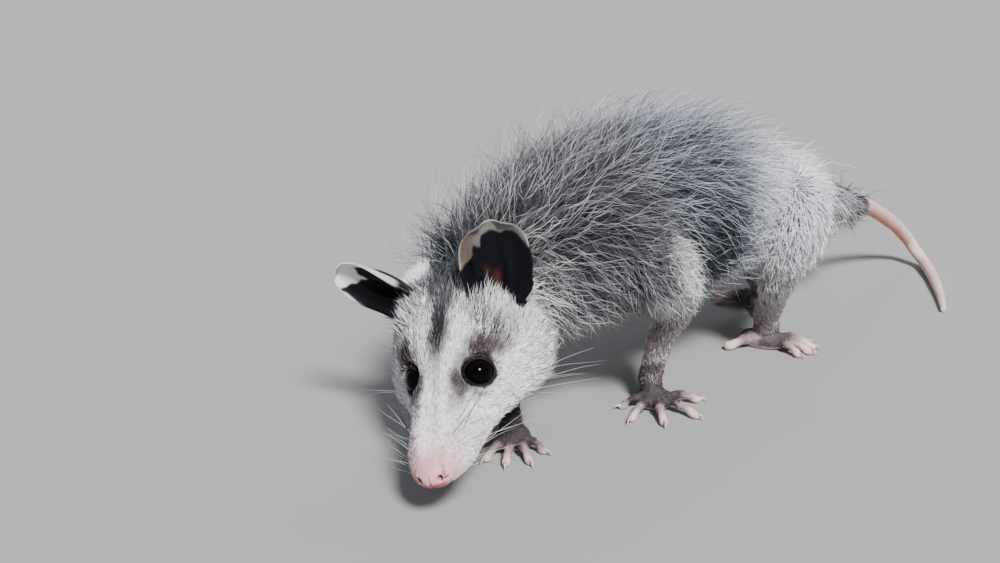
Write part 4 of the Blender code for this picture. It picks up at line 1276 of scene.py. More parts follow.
def claw_material():
    mat, nt, bsdf = material("opossum_claw")
    link = nt.links.new
    col = nt.nodes.new("ShaderNodeAttribute")
    col.attribute_name = "coat"
    pos = nt.nodes.new("ShaderNodeTexCoord")
    grain = node(nt, "ShaderNodeTexNoise", Scale=1500.0, Detail=2.0)
    link(pos.outputs["Object"], grain.inputs["Vector"])
    mott = nt.nodes.new("ShaderNodeMapRange")
    mott.inputs["To Min"].default_value = 0.75
    mott.inputs["To Max"].default_value = 1.2
    link(grain.outputs["Fac"], mott.inputs["Value"])
    mul = nt.nodes.new("ShaderNodeVectorMath")
    mul.operation = "SCALE"
    link(col.outputs["Color"], mul.inputs[0])
    link(mott.outputs["Result"], mul.inputs["Scale"])
    link(mul.outputs["Vector"], bsdf.inputs["Base Color"])
    bsdf.inputs["Roughness"].default_value = 0.3
    return mat


MAT_SKIN = skin_material()
MAT_LONG = coat_material("opossum_guard_hair", 0.50, 0.03)
MAT_SOFT = coat_material("opossum_soft_fur", 0.66, 0.03)
MAT_WHISKER = coat_material("opossum_whisker", 0.35, 0.0)
MAT_EYE, MAT_CLAW = eye_material(), claw_material()

skin.data.materials.clear()
skin.data.materials.append(MAT_SKIN)
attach(skin, "root")
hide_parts("trunk", "neck", "head", "lower_jaw", "nose", "ear_left", "ear_right",
            "tail_base", "tail_upper", "tail_middle", "tail_tip", *LEGS, *FEET)

# ------------------------------------------------------------ eyes
for s, label in ((1, "left"), (-1, "right")):
    c, look, along, across = eye_frame(s)
    seg, rng_ = 48, 32
    rings = []
    for i in range(rng_ + 1):
        a = -pi / 2 + pi * i / rng_
        off = pi / 2 - a                               # angle from the look
        r = EYE_RADIUS * (1 + 0.045 * np.exp(-(off / 0.62) ** 2))
        t = np.arange(seg) * 2 * pi / seg
        q = (c + look * r * sin(a)
             + np.cos(t)[:, None] * along * r * max(cos(a), 0.002)
             + np.sin(t)[:, None] * across * r * max(cos(a), 0.002))
        rings.append(head_point(q))
    eye = joined([closed(rings)], "opossum_eye_" + label)
    e = to_head(unplace(coords(eye.data))) - c
    off = np.arccos(np.clip((e @ look) / np.linalg.norm(e, axis=1), -1, 1))
    col = np.tile(np.array((0.0012, 0.0010, 0.0012)), (len(e), 1))
    col = mix(col, (0.0030, 0.0020, 0.0018), bump(off, 0.75, 0.20))
    set_colour(eye.data, col)
    eye.data.shade_smooth()
    eye.data.materials.append(MAT_EYE)
    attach(eye, "root")
    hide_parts("eye_" + label)

# ------------------------------------------------------------ claws
claw_forms, claw_tone = [], []
for tip, d, radius in claw_spots:
    up = np.array([0, 0, 1.0])
    base = tip - d * 1.4 + up * 0.15
    mid = tip + d * 1.4 + up * 0.25
    end = tip + d * 3.1 - up * (tip[2] - 0.55)
    rows = [(*base, 0.85), (*(0.5 * (base + mid) + up * 0.15), 0.80), (*mid, 0.62),
            (*(0.5 * (mid + end) + up * 0.35), 0.38), (*end, 0.12)]
    claw_forms.append(closed(tube_rings(rows, 0.45, 10, across=(-d[1], d[0], 0))))
claws = joined(claw_forms, "opossum_claws")
cp = unplace(coords(claws.data))
set_colour(claws.data, mix(np.tile(np.array((0.62, 0.52, 0.47)), (len(cp), 1)),
                           (0.34, 0.26, 0.23), 0.5 + 0.5 * wavy(cp, 3, 61)))
claws.data.shade_smooth()
claws.data.materials.append(MAT_CLAW)
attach(claws, "root")


# ------------------------------------------------------------ coat
me = skin.data
me.calc_loop_triangles()
TRI = np.empty(len(me.loop_triangles) * 3, np.int64)
me.loop_triangles.foreach_get("vertices", TRI)
TRI = TRI.reshape(-1, 3)
VP = skin_pts
VN = normals(me) * np.array([-1, -1, 1.0])          # row frame to body frame
TA, TB, TC = VP[TRI[:, 0]], VP[TRI[:, 1]], VP[TRI[:, 2]]
AREA = 0.5 * np.linalg.norm(np.cross(TB - TA, TC - TA), axis=1)
MIDP = (TA + TB + TC) / 3


def tri_value(values):
    return values[TRI].mean(axis=1)


def scatter(weight, count, seed):
    """count points spread over the skin by a weight per triangle."""
    rng = np.random.default_rng(seed)
    w = AREA * np.maximum(weight, 0)
    cum = np.cumsum(w)
    # evenly stepped through the running area, so that no bald spots are left
    at = (np.arange(count) + rng.random(count)) / count * cum[-1]
    k = np.clip(np.searchsorted(cum, at), 0, len(cum) - 1)
    u, v = rng.random(count), rng.random(count)
    m = u + v > 1
    u[m], v[m] = 1 - u[m], 1 - v[m]
    pts = TA[k] + u[:, None] * (TB[k] - TA[k]) + v[:, None] * (TC[k] - TA[k])
    n0, n1, n2 = VN[TRI[k, 0]], VN[TRI[k, 1]], VN[TRI[k, 2]]
    nor = unit(n0 * (1 - u - v)[:, None] + n1 * u[:, None] + n2 * v[:, None])
    return pts, nor


def lie(w, nor):
    """Unit direction of the lie of the coat along the skin."""
    n = len(w.p)
    down = np.array([0, 0, -1.0])
    # trunk: back along the spine, and down over the flanks
    side = np.abs(w.sidedness)
    d = -w.fwd + down * (0.50 * side * step01(-0.9, 0.4, w.topness) + 0.12)[:, None]
    neckish = step01(200, 250, w.s)
    d = d + down * (0.30 * neckish * side)[:, None]
    # head: from the nose back over the face
    h = w.head
    x, y, z = h.T
    sg = np.where(y >= 0, 1.0, -1.0)
    f = np.zeros((n, 3))
    f[:, 0] = -1.0
    cheek = step01(6, 24, np.abs(y)) * step01(16, 0, z)
    f[:, 1] = sg * 0.35 * cheek
    f[:, 2] = -0.42 * cheek
    crown = step01(62, 40, x) * step01(10, 24, z)
    f[:, 1] += sg * 0.10 * crown
    # hair turns away from the eyes
    for s in (1, -1):
        c, look, along, across = eye_frame(s)
        e = h - c
        e = e - (e @ look)[:, None] * look
        r = np.linalg.norm(e, axis=1)
        f += unit(e) * (1.5 * np.exp(-((r - 7) / 3.5) ** 2) * (np.sign(y) == s))[:, None]
    f = f @ HEAD_AXES
    hw = step01(HEAD_START - 12, HEAD_START + 14, w.s)[:, None]
    d = unit(d) * (1 - hw) + unit(f) * hw
    # legs: down the limb and a little back
    for i, name in enumerate(LEGS):
        j, r, t, way = w.rel[name]
        g = way + np.array([-0.45, 0, -0.10])
        wgt = np.where(w.part == i + 1, step01(0.10, 0.42, t), 0.0)
        wgt = np.maximum(wgt, np.where((w.part == 0) & (w.s < HEAD_START), step01(1.5, 0.9, r) * 0.55 * step01(0.1, 0.35, t), 0))
        d = d * (1 - wgt[:, None]) + unit(g) * wgt[:, None]
    for k, name in enumerate(FEET):
        m = w.part == 6 + k
        c = np.array([*FEET[name]["sole"], 4.0])
        g = w.p - c
        g[:, 2] = -2
        d[m] = unit(g)[m]
    m = w.part == 5
    d[m] = w.rel["tail"][3][m]
    d = d - nor * (d * nor).sum(1)[:, None]
    return unit(d)


# unwrap of the skin's own shape: one island for each part
ISLANDS = {0: (0.01, 0.01, 0.98, 0.46), 1: (0.01, 0.50, 0.23, 0.22), 2: (0.26, 0.50, 0.23, 0.22),
           3: (0.51, 0.50, 0.23, 0.22), 4: (0.76, 0.50, 0.23, 0.22), 5: (0.01, 0.76, 0.48, 0.10),
           6: (0.51, 0.76, 0.11, 0.11), 7: (0.63, 0.76, 0.11, 0.11), 8: (0.75, 0.76, 0.11, 0.11),
           9: (0.87, 0.76, 0.11, 0.11)}


def unwrap(w):
    """Place of each root on that unwrap, from its place along and round its part."""
    n = len(w.p)
    uv = np.zeros((n, 2))
    for k, (x0, y0, sx, sy) in ISLANDS.items():
        m = w.part == k
        if not m.any():
            continue
        if k == 0:
            u, v = w.s[m] / SPINE_LEN, (w.angle[m] + pi) / (2 * pi)
        elif k <= 5:
            name = list(PATHS)[k - 1]
            j, r, t, way = w.rel[name]
            q = w.p[m] - PATHS[name][1][j[m], :3]
            a = np.cross(way[m], np.array([0, 1.0, 0.0]))
            a = unit(a)
            b = np.cross(way[m], a)
            u, v = t[m], (np.arctan2((q * b).sum(1), (q * a).sum(1)) + pi) / (2 * pi)
        else:
            spec = FEET[list(FEET)[k - 6]]
            q = w.p[m, :2] - np.array(spec["sole"])
            u, v = np.clip(q[:, 0] / 70 + 0.5, 0, 1), np.clip(q[:, 1] / 70 + 0.5, 0, 1)
        uv[m, 0], uv[m, 1] = x0 + sx * u, y0 + sy * v
    return uv


COAT_TRIS = 0


def through_ear(p0, p1):
    """True where the line from p0 to p1 crosses the thin sheet of an ear."""
    hit = np.zeros(len(p0), bool)
    for spec in EARS.values():
        base, rise, opens, wide = ear_basis(spec)
        k = spec["side"]
        before = None
        for t in (0.0, 0.2, 0.4, 0.6, 0.8, 1.0):
            e = p0 + (p1 - p0) * t - base
            ex, ey, ez = e @ wide, e @ rise, e @ opens
            v = np.clip(ey / EAR_HEIGHT + 0.10, 0, 1)
            half = ear_half_width(v) * spec["slim"]
            u = ex / half
            cup = (1 - 0.62 * v) * 9.0 * (np.clip(u, -1, 1) ** 2 - 0.55) + 3.5 * v * v
            side = ez - cup
            inside = (np.abs(u) < 1.08) & (ey > -4) & (ey < EAR_HEIGHT)
            if before is not None:
                hit |= inside & (side * before < 0)
            hit |= inside & (np.abs(side) < 0.8) & (t > 0.1)
            before = side
    return hit



def tufts(name, w, nor, way, length, width, lift, flop, curl, tip, root, seg, seed, mat,
          clump=0.0, clump_size=5.0, droop=0.0, sink=0.4, root_hold=0.35, flat=1.0):
    """Closed tapering locks of three sides, bent along the lie of the coat."""
    global COAT_TRIS
    rng = np.random.default_rng(seed)
    p = w.p
    n = len(p)
    length = np.broadcast_to(length, n).astype(float)
    width = np.broadcast_to(width, n).astype(float)
    lift = np.broadcast_to(lift, n).astype(float)
    flop = np.broadcast_to(flop, n).astype(float)
    across = unit(np.cross(nor, way))
    swing = rng.normal(0, 1, n)
    phase, beat = rng.uniform(0, 2 * pi, n), rng.uniform(0.7, 1.5, n)
    if clump > 0:
        spot, dist, mark = cells(p, clump_size, seed + 5)
        pull = spot - p
        pull = pull - nor * (pull * nor).sum(1)[:, None]
    pts = [p - nor * sink]
    dirs = []
    cur = pts[0]
    for k in range(seg):
        t = (k + 0.5) / seg
        a = lift * (1 - flop * t)
        lat = curl * (0.5 * swing + 0.9 * np.sin(2 * pi * beat * t + phase))
        d = (np.cos(a)[:, None] * way + np.sin(a)[:, None] * nor + lat[:, None] * across)
        d = unit(d)
        if droop:
            d = unit(d + np.array([0, 0, -1.0]) * (droop * t))
        stepv = d * (length / seg)[:, None]
        if clump > 0:
            stepv = stepv + pull * (clump / seg)
        cur = cur + stepv
        pts.append(cur)
        dirs.append(unit(stepv))
    # hair that would run through an ear stays short
    close = np.where(np.minimum(*[np.linalg.norm(p - head_point(e["base"])[0], axis=1)
                                  for e in EARS.values()]) < 62)[0]
    if len(close):
        stop = np.zeros(len(close), bool)
        for a, b in zip(pts[:-1], pts[1:]):
            stop |= through_ear((a + nor * 0.6)[close], b[close])
        bad = close[stop]
        for q in pts[1:]:
            q[bad] = pts[0][bad] + (q[bad] - pts[0][bad]) * 0.22
    # keep everything above the floor, and the highest tips within the coat's height
    for q in pts[1:]:
        q[:, 2] = np.maximum(q[:, 2], 0.5)
        over = np.maximum(q[:, 2] - 143.0, 0)
        q[:, 2] = np.minimum(q[:, 2], 143.0) + 11.0 * (1 - np.exp(-over / 11.0))
        # and the hair of the flanks within its breadth
        over = np.maximum(-58.0 - q[:, 1], 0)
        q[:, 1] = np.maximum(q[:, 1], -58.0) - 11.0 * (1 - np.exp(-over / 11.0))
        over = np.maximum(q[:, 1] - 70.0, 0)
        q[:, 1] = np.minimum(q[:, 1], 70.0) + 12.0 * (1 - np.exp(-over / 12.0))
    taper = {2: (0.75, 1.0), 3: (0.7, 1.0, 0.72), 4: (0.7, 1.0, 0.9, 0.55),
             5: (0.7, 1.0, 1.0, 0.8, 0.5), 6: (0.8, 1.0, 0.95, 0.8, 0.62, 0.4),
             8: (0.9, 1.0, 0.93, 0.85, 0.74, 0.62, 0.48, 0.32)}[seg]
    rows = seg * 3 + 1
    V = np.empty((n, rows, 3))
    C = np.empty((n, rows, 3))
    UV = np.empty((n, rows, 2))
    base_uv = unwrap(w)
    for k in range(seg):
        d = dirs[min(k, seg - 1)] if k == 0 else unit(dirs[k - 1] + dirs[min(k, seg - 1)])
        u = unit(np.cross(nor, d) + across * 1e-3)
        v = np.cross(d, u)
        r = width * 0.5 * taper[k]
        for j in range(3):
            a = pi / 2 + j * 2 * pi / 3
            V[:, k * 3 + j] = pts[k] + (np.cos(a) * r)[:, None] * u + (np.sin(a) * r * flat)[:, None] * v
            UV[:, k * 3 + j] = base_uv + np.array([0.003 * (k / seg - 0.5), 0.003 * (j / 3 - 0.33)])
        t = np.clip((k / seg - root_hold * 0.5) / (1 - root_hold * 0.5), 0, 1)
        C[:, k * 3:k * 3 + 3] = (root + (tip - root) * t**0.8)[:, None, :]
    V[:, -1] = pts[-1]
    C[:, -1] = tip
    UV[:, -1] = base_uv + np.array([0.0015, 0.0])
    tone = (1 + rng.normal(0, 0.10, n))[:, None, None]
    C = np.clip(C * tone, 0, 1)
    # faces: base cap, sides, tip
    quad = []
    for k in range(seg - 1):
        for j in range(3):
            j2 = (j + 1) % 3
            quad.append((k * 3 + j, k * 3 + j2, (k + 1) * 3 + j2, (k + 1) * 3 + j))
    last = (seg - 1) * 3
    tri = [(2, 1, 0)] + [(last + j, last + (j + 1) % 3, rows - 1) for j in range(3)]
    quad = np.array(quad)
    tri = np.array(tri)
    # the row frame is the body frame turned half round: no mirror, same winding
    off = np.arange(n)[:, None, None] * rows
    ql = (quad[None] + off).reshape(-1)
    tl = (tri[None] + off).reshape(-1)
    loops = np.concatenate([ql, tl])
    nq, nt_ = n * len(quad), n * len(tri)
    starts = np.concatenate([np.arange(nq) * 4, nq * 4 + np.arange(nt_) * 3])
    m = bpy.data.meshes.new(name)
    m.vertices.add(n * rows)
    m.vertices.foreach_set("co", place(V.reshape(-1, 3)).ravel())
    m.loops.add(len(loops))
    m.loops.foreach_set("vertex_index", loops.astype(np.int32))
    m.polygons.add(nq + nt_)
    m.polygons.foreach_set("loop_start", starts.astype(np.int32))
    m.update(calc_edges=True)
    uvl = m.uv_layers.new(name="OFBake")
    uvl.data.foreach_set("uv", np.clip(UV.reshape(-1, 2)[loops], 0.0, 1.0).astype(np.float32).ravel())
    set_colour(m, C.reshape(-1, 3))
    m.shade_smooth()
    m.materials.append(mat)
    ob = new_object(name, m)
    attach(ob, "root")
    tris = 2 * nq + nt_
    COAT_TRIS += tris
    print("COAT", name, "tufts", n, "triangles", tris)
    return ob


def split(name, parts, order, *columns):
    """Index lists that cut the tufts into even pieces along an order."""
    k = np.argsort(order, kind="stable")
    return np.array_split(k, parts)


def pick(w, k):
    q = object.__new__(Where)
    q.p, q.k, q.s, q.angle, q.rho = w.p[k], w.k[k], w.s[k], w.angle[k], w.rho[k]
    q.sidedness, q.topness = w.sidedness[k], w.topness[k]
    q.fwd, q.up, q.left = w.fwd[k], w.up[k], w.left[k]
    q.rel = {a: tuple(b_[k] for b_ in b) for a, b in w.rel.items()}
    q.part, q.head, q.is_head = w.part[k], w.head[k], w.is_head[k]
    q.ear, q.ear_v, q.ear_u = w.ear[k], w.ear_v[k], w.ear_u[k]
    return q


PART = skin_where.part
tri_part = PART[TRI[:, 0]]
tri_ear = skin_where.ear[TRI].max(axis=1) > 0
tri_s = tri_value(skin_where.s)
tri_rho = tri_value(skin_where.rho)
tri_top = tri_value(skin_where.topness)
tri_head = to_head(MIDP)
FEW = 1.0

on_body = ((tri_part == 0) & (tri_s < HEAD_START + 2) & ~tri_ear).astype(float)
upper_leg = np.zeros(len(TRI))
for i, name in enumerate(LEGS):
    t = tri_value(skin_where.rel[name][2])
    upper_leg += (tri_part == i + 1) * step01(0.80, 0.58, t)
body_weight = np.clip(on_body + upper_leg, 0, 1)


def body_set(count, seed, weight):
    pts, nor = scatter(weight, int(count * FEW), seed)
    w = Where(pts)
    way = lie(w, nor)
    return w, nor, way


def sway(w, way, nor, size, amount, seed):
    """Turns the lie a little this way and that, together over small areas."""
    across = np.cross(nor, way)
    a = wavy(w.p, size, seed) * amount + wavy(w.p, size * 0.4, seed + 1) * amount * 0.5
    return unit(way + across * a[:, None])


def region(w):
    """Weights used for the length and the lift of the body coat."""
    nape = step01(205, 250, w.s) * step01(HEAD_START + 12, HEAD_START - 8, w.s)
    back = step01(0.1, 0.9, w.topness)
    belly = step01(-0.35, -0.85, w.topness)
    rump = step01(126, 68, w.s) * (w.part == 0)
    legs = np.zeros(len(w.p))
    for i, name in enumerate(LEGS):
        legs = np.maximum(legs, (w.part == i + 1) * step01(0.20, 0.78, w.rel[name][2]))
    return nape, back, belly, rump, legs


# underfur: short, dense and dark
w, nor, way = body_set(26000, 101, body_weight)
nape, back, belly, rump, legs = region(w)
tip, root, under = body_colours(w)
way = sway(w, way, nor, 16, 0.30, 111)
L = (11.5 + 4.0 * back - 6.0 * legs) * (1 - 0.42 * rump)
for k, idx in enumerate(split("under", 2, w.s)):
    q = pick(w, idx)
    tufts(f"coat_underfur_{k + 1}", q, nor[idx], way[idx], L[idx], 1.05,
          (0.62 + 0.22 * back - 0.42 * rump - 0.20 * legs)[idx],
          0.55, 0.22, under[idx] * 1.5 + 0.01, under[idx] * 0.6, 2, 120 + k, MAT_SOFT,
          clump=0.35, clump_size=4.5)

# guard hairs: long, coarse, wavy and pale-tipped
w, nor, way = body_set(30500, 201, body_weight * (1 + 0.4 * step01(0, 0.8, tri_top)))
nape, back, belly, rump, legs = region(w)
tip, root, under = body_colours(w)
way = sway(w, way, nor, 13, 0.46, 211)
rng = np.random.default_rng(5)
way = unit(way + np.cross(nor, way) * rng.normal(0, 0.27, len(w.p))[:, None])
long_ = rng.random(len(w.p))
tail_end = step01(34, 10, w.s)
L = (20 + 9 * back + 3 * nape - 3 * belly - 11.5 * legs) * (0.70 + 0.5 * long_) * (1 - 0.36 * rump)
L *= 1 + 0.75 * tail_end
lift = (0.40 + 0.50 * back + 0.26 * nape) * (1 - 0.62 * rump) * (1 + 0.5 * tail_end * (1 - 1.6 * back)) - 0.14 * legs
lift += rng.normal(0, 0.10, len(w.p)) * (1 - 0.6 * rump)
# pale hairs over dark ones: most on the rump, fewest on the nape, and fewer in the flank's gap between elbow and thigh
# to paint its shadow
shadowed_gap = np.exp(-((w.p[:, 0] - 14) / 11) ** 2) * step01(108, 94, w.p[:, 2])
hind = step01(4, -34, w.p[:, 0]) * step01(-152, -142, w.p[:, 0])
chance = 0.40 - 0.12 * back + 0.62 * hind * (1 - 0.4 * back) - 0.26 * shadowed_gap - 0.06 * nape + 0.15 * belly \
    + 0.50 * cream_band(w) - 0.30 * step01(20, 6, w.s) + 0.5 * collar_band(w) \
    - 0.15 * step01(150, 178, w.s) * step01(0.85, 0.45, w.topness) * step01(-0.5, -0.2, w.topness)
white = rng.random(len(w.p)) < chance
dark_tip = np.where(white[:, None], np.clip(tip * 1.08, 0, 1), root * 0.9 + 0.008)
for k, idx in enumerate(split("guard", 4, w.s)):
    q = pick(w, idx)
    tufts(f"coat_guard_{k + 1}", q, nor[idx], way[idx], L[idx], 0.41, lift[idx],
          0.55, 0.58, dark_tip[idx], root[idx], 3, 220 + k, MAT_LONG,
          clump=0.45, clump_size=6.0, droop=0.28, root_hold=0.6)

# single long hairs that break the outline
w, nor, way = body_set(3600, 301, on_body * (0.35 + 2.2 * step01(0.0, 0.8, tri_top)) * step01(24, 44, tri_s))
nape, back, belly, rump, legs = region(w)
tip, root, under = body_colours(w)
way = sway(w, way, nor, 12, 0.6, 311)
rng = np.random.default_rng(6)
L = (31 + 14 * back - 4 * belly) * rng.uniform(0.75, 1.2, len(w.p)) * (1 - 0.40 * rump)
lift = (0.60 + 0.58 * back) * (1 - 0.66 * rump) + rng.normal(0, 0.16, len(w.p)) * (1 - 0.5 * rump)
silver = rng.random(len(w.p))[:, None]
tip = np.where(silver < 0.45, tip * 1.1, np.where(silver < 0.75, tip * 0.5, tip * 0.18))
tufts("coat_outer", w, nor, way, L, 0.32, lift, 0.72, 0.42, np.clip(tip * 1.12, 0, 1), root, 4, 320,
      MAT_LONG, droop=0.22, root_hold=0.45)

# ------------------------------------------------------------ head fur
tx, ty, tz = tri_head.T
eye_gap = np.full(len(TRI), 99.0)
for s in (1, -1):
    c, look, along, across = eye_frame(s)
    d = tri_head - c
    a_, b_ = d @ along, d @ across
    r = np.hypot(a_, b_)
    g = np.where((d @ look) > -4, r - lid_opening(np.arctan2(b_, a_)), 99.0)
    eye_gap = np.minimum(eye_gap, np.where(np.sign(ty) == s, g, 99))
pad_gap = np.sqrt(((tx - 100.6) / 5.0) ** 2 + (ty / 6.8) ** 2 + ((tz - 0.9) / 4.8) ** 2)
on_head = ((tri_part == 0) & (tri_s > HEAD_START - 6) & ~tri_ear).astype(float)
on_head *= (eye_gap > 0.65) * ((pad_gap > 1.16) | (tx < 98.5)) * (tx < 103)
mouth = np.interp(tx, (50, 57, 66, 75, 88, 94.5, 98, 101), (-12.5, -9.9, -8.4, -7.6, -6.9, -6.4, -5.6, -5.2))
on_head *= (np.abs(tz - mouth) > 0.7) | (tx < 56)
head_weight = on_head * (1 + 1.3 * step01(40, 70, tx) + 1.2 * step01(70, 92, tx))


def head_length(h, gap):
    x, y, z = h.T
    ay = np.abs(y)
    L = np.interp(x, (-4, 12, 28, 40, 52, 64, 80, 92, 101), (17, 13, 9.5, 7.6, 5.4, 4.2, 3.2, 2.3, 1.3))
    L = L * (1 + 0.55 * step01(16, 30, ay) * step01(8, -6, z) * step01(62, 40, x))
    return L * np.clip(0.26 + 0.11 * gap, 0.26, 1)


pts, nor = scatter(head_weight, int(37000 * FEW), 401)
w = Where(pts)
way = lie(w, nor)
way = sway(w, way, nor, 7, 0.22, 411)
gap = np.maximum(lid_gap(w.head) - 0.8, 0)
L = head_length(w.head, gap) * np.random.default_rng(7).uniform(0.75, 1.2, len(pts))
L *= 1 + 0.5 * step01(0.6, 3.0, gap) * 0
fc = face_colour(w.head)
ahead = to_head(w.p + way * (L * 0.75)[:, None])
ft = mix(face_colour(ahead), fc, step01(5.0, 1.5, gap))
rng = np.random.default_rng(8)
x, y, z = w.head.T
grey = rng.random(len(pts)) < 0.06 * step01(30, 60, x)
tipc = np.clip(ft * 1.05, 0, 1)
tipc[grey] *= 0.35
pale = rng.random(len(pts)) < 0.10
tipc[pale] = np.clip(tipc[pale] * 0.7 + 0.24, 0, 1)
wid = np.interp(x, (0, 30, 60, 90, 102), (0.55, 0.48, 0.36, 0.28, 0.20))
lf = np.interp(x, (-4, 20, 45, 70, 100), (0.60, 0.50, 0.36, 0.26, 0.24)) + rng.normal(0, 0.06, len(pts))
lf += 0.25 * bump(x, 16, 12) * step01(18, 26, z)
for k, idx in enumerate(split("head", 3, x)):
    q = pick(w, idx)
    tufts(f"coat_head_{k + 1}", q, nor[idx], way[idx], L[idx], wid[idx], lf[idx],
          0.6, 0.22, tipc[idx], (0.5 * fc + 0.5 * ft)[idx] * 0.88, 2, 420 + k, MAT_SOFT,
          clump=0.30, clump_size=2.6, sink=0.15)

# ------------------------------------------------------------ limbs, feet, tail root
lw = np.zeros(len(TRI))
for i, name in enumerate(LEGS):
    t = tri_value(skin_where.rel[name][2])
    lw += (tri_part == i + 1) * step01(0.46, 0.66, t)
for k, name in enumerate(FEET):
    spec = FEET[name]
    reach = np.linalg.norm(MIDP[:, :2] - np.array(spec["sole"]), axis=1)
    lw += (tri_part == 6 + k) * step01(17, 12, reach) * step01(3.5, 5.0, MIDP[:, 2]) * 0.9
pts, nor = scatter(lw, int(13000 * FEW), 501)
w = Where(pts)
way = lie(w, nor)
way = sway(w, way, nor, 9, 0.25, 511)
tipc = np.zeros((len(pts), 3))
rootc = np.zeros((len(pts), 3))
L = np.zeros(len(pts))
for i, name in enumerate(LEGS):
    m = w.part == i + 1
    a, b = leg_colours(w, name)
    tipc[m], rootc[m] = a[m], b[m]
    L[m] = np.interp(w.rel[name][2][m], (0.3, 0.5, 0.62, 0.75, 0.87, 1.0), (13, 11, 8.6, 6.0, 4.2, 3.0))
for k in range(4):
    m = w.part == 6 + k
    c = foot_colour(w, k)
    tipc[m], rootc[m] = c[m] * 1.25, c[m] * 0.7
    L[m] = 2.2
rng = np.random.default_rng(9)
L *= rng.uniform(0.75, 1.2, len(pts))
white = rng.random(len(pts)) < 0.22
tipc[white] = np.clip(tipc[white] * 1.8 + 0.07, 0, 1)
tufts("coat_limbs", w, nor, way, L, 0.40, 0.34 + rng.normal(0, 0.06, len(pts)), 0.6, 0.22,
      np.clip(tipc, 0, 1), rootc, 2, 520, MAT_SOFT, clump=0.25, clump_size=2.8, sink=0.2)

# dark fur over the root of the tail, with white hairs across it
tt = tri_value(skin_where.rel["tail"][2])
tw = (tri_part == 5) * step01(0.125, 0.100, tt)
pts, nor = scatter(tw, int(1500 * FEW), 601)
w = Where(pts)
way = lie(w, nor)
rng = np.random.default_rng(10)
along = w.rel["tail"][2]
white = rng.random(len(pts)) < np.interp(along, (0, 0.05, 0.11), (0.50, 0.35, 0.10))
c = np.where(white[:, None], np.array((0.74, 0.74, 0.78)), np.array((0.045, 0.045, 0.050)))
L = np.interp(along, (0, 0.05, 0.12), (22, 14, 4.5)) * rng.uniform(0.7, 1.2, len(pts))
lift = np.interp(along, (0, 0.06, 0.12), (0.40, 0.30, 0.16))
way = sway(w, way, nor, 8, 0.35, 611)
tufts("coat_tail_root", w, nor, way, L, 0.36, lift + rng.normal(0, 0.08, len(pts)), 0.8, 0.35,
      c, c * 0.5, 3, 620, MAT_LONG, clump=0.25, clump_size=5, droop=0.35)

# fringe that hangs from the sides and the back of the rump, under the root of the tail
fr = (tri_part == 0) * step01(70, 40, tri_s) * step01(0.45, 0.0, tri_top)
pts, nor = scatter(fr, int(2200 * FEW), 701)
w = Where(pts)
way = lie(w, nor)
way = sway(w, way, nor, 10, 0.5, 711)
rng = np.random.default_rng(11)
white = rng.random(len(pts)) < 0.72 - 0.30 * step01(30, 8, w.s)
c = np.where(white[:, None], np.array((0.84, 0.84, 0.88)), np.array((0.035, 0.035, 0.042)))
tufts("coat_tail_fringe", w, nor, way, rng.uniform(14, 24, len(pts)) * (1 + 0.45 * step01(34, 8, w.s)), 0.38,
      0.46 + rng.normal(0, 0.10, len(pts)), 0.8, 0.3, c, c * 0.35, 4, 720, MAT_LONG,
      clump=0.35, clump_size=6, droop=0.50)

# a few pale hairs cross the dark root of the tail from above
fr = (tri_part == 0) * step01(24, 10, tri_s) * step01(0.0, 0.4, tri_top)
pts, nor = scatter(fr, int(420 * FEW), 751)
w = Where(pts)
way = lie(w, nor)
way = sway(w, way, nor, 8, 0.5, 761)
rng = np.random.default_rng(12)
c = np.where(rng.random(len(pts))[:, None] < 0.55, np.array((0.80, 0.80, 0.84)), np.array((0.04, 0.04, 0.046)))
tufts("coat_tail_over", w, nor, way, rng.uniform(12, 20, len(pts)), 0.36,
      0.14 + rng.normal(0, 0.05, len(pts)), 0.8, 0.3, c, c * 0.5, 4, 770, MAT_LONG,
      clump=0.3, clump_size=6, droop=0.35)

# tufts of fur at the foot of each ear
for k, (name, spec) in enumerate(EARS.items()):
    base = np.array(spec["base"], float)
    s = spec["side"]
    rise = unit(np.array(spec["rise"]))
    d = np.linalg.norm(tri_head - base, axis=1)
    ring = on_head * step01(24, 15, d)
    pts, nor = scatter(ring, int(1200 * FEW), 801 + k)
    w = Where(pts)
    way = lie(w, nor)
    h = w.head - base
    # in front and at the inner side the hair leans on the ear, behind it stands
    lean = unit(head_dir(spec["rise"]) * 0.9 + way * 0.8)
    lean = unit(lean - nor * (lean * nor).sum(1)[:, None] * 0.6)
    tan = unit(lean - nor * (lean * nor).sum(1)[:, None])
    rng = np.random.default_rng(20 + k)
    fc = face_colour(w.head)
    bright = step01(0.25, 0.6, fc.mean(axis=1))[:, None]
    c = np.clip((fc * 0.5 + 0.42) * bright + (fc * 1.1 + 0.02) * (1 - bright), 0, 1)
    dark = (rng.random(len(pts)) < 0.18)
    c[dark] *= 0.3
    L = rng.uniform(6, 10.5, len(pts)) * (1 + 0.75 * step01(-3, 5, h[:, 0]) * step01(3, -7, h[:, 1] * s))
    tufts("coat_" + name + "_foot", w, nor, tan, L, 0.42, 0.62 + rng.normal(0, 0.1, len(pts)),
          0.4, 0.28, np.clip(c, 0, 1), np.clip(c * 0.6, 0, 1), 3, 820 + k, MAT_SOFT,
          clump=0.3, clump_size=3.0, sink=0.2)

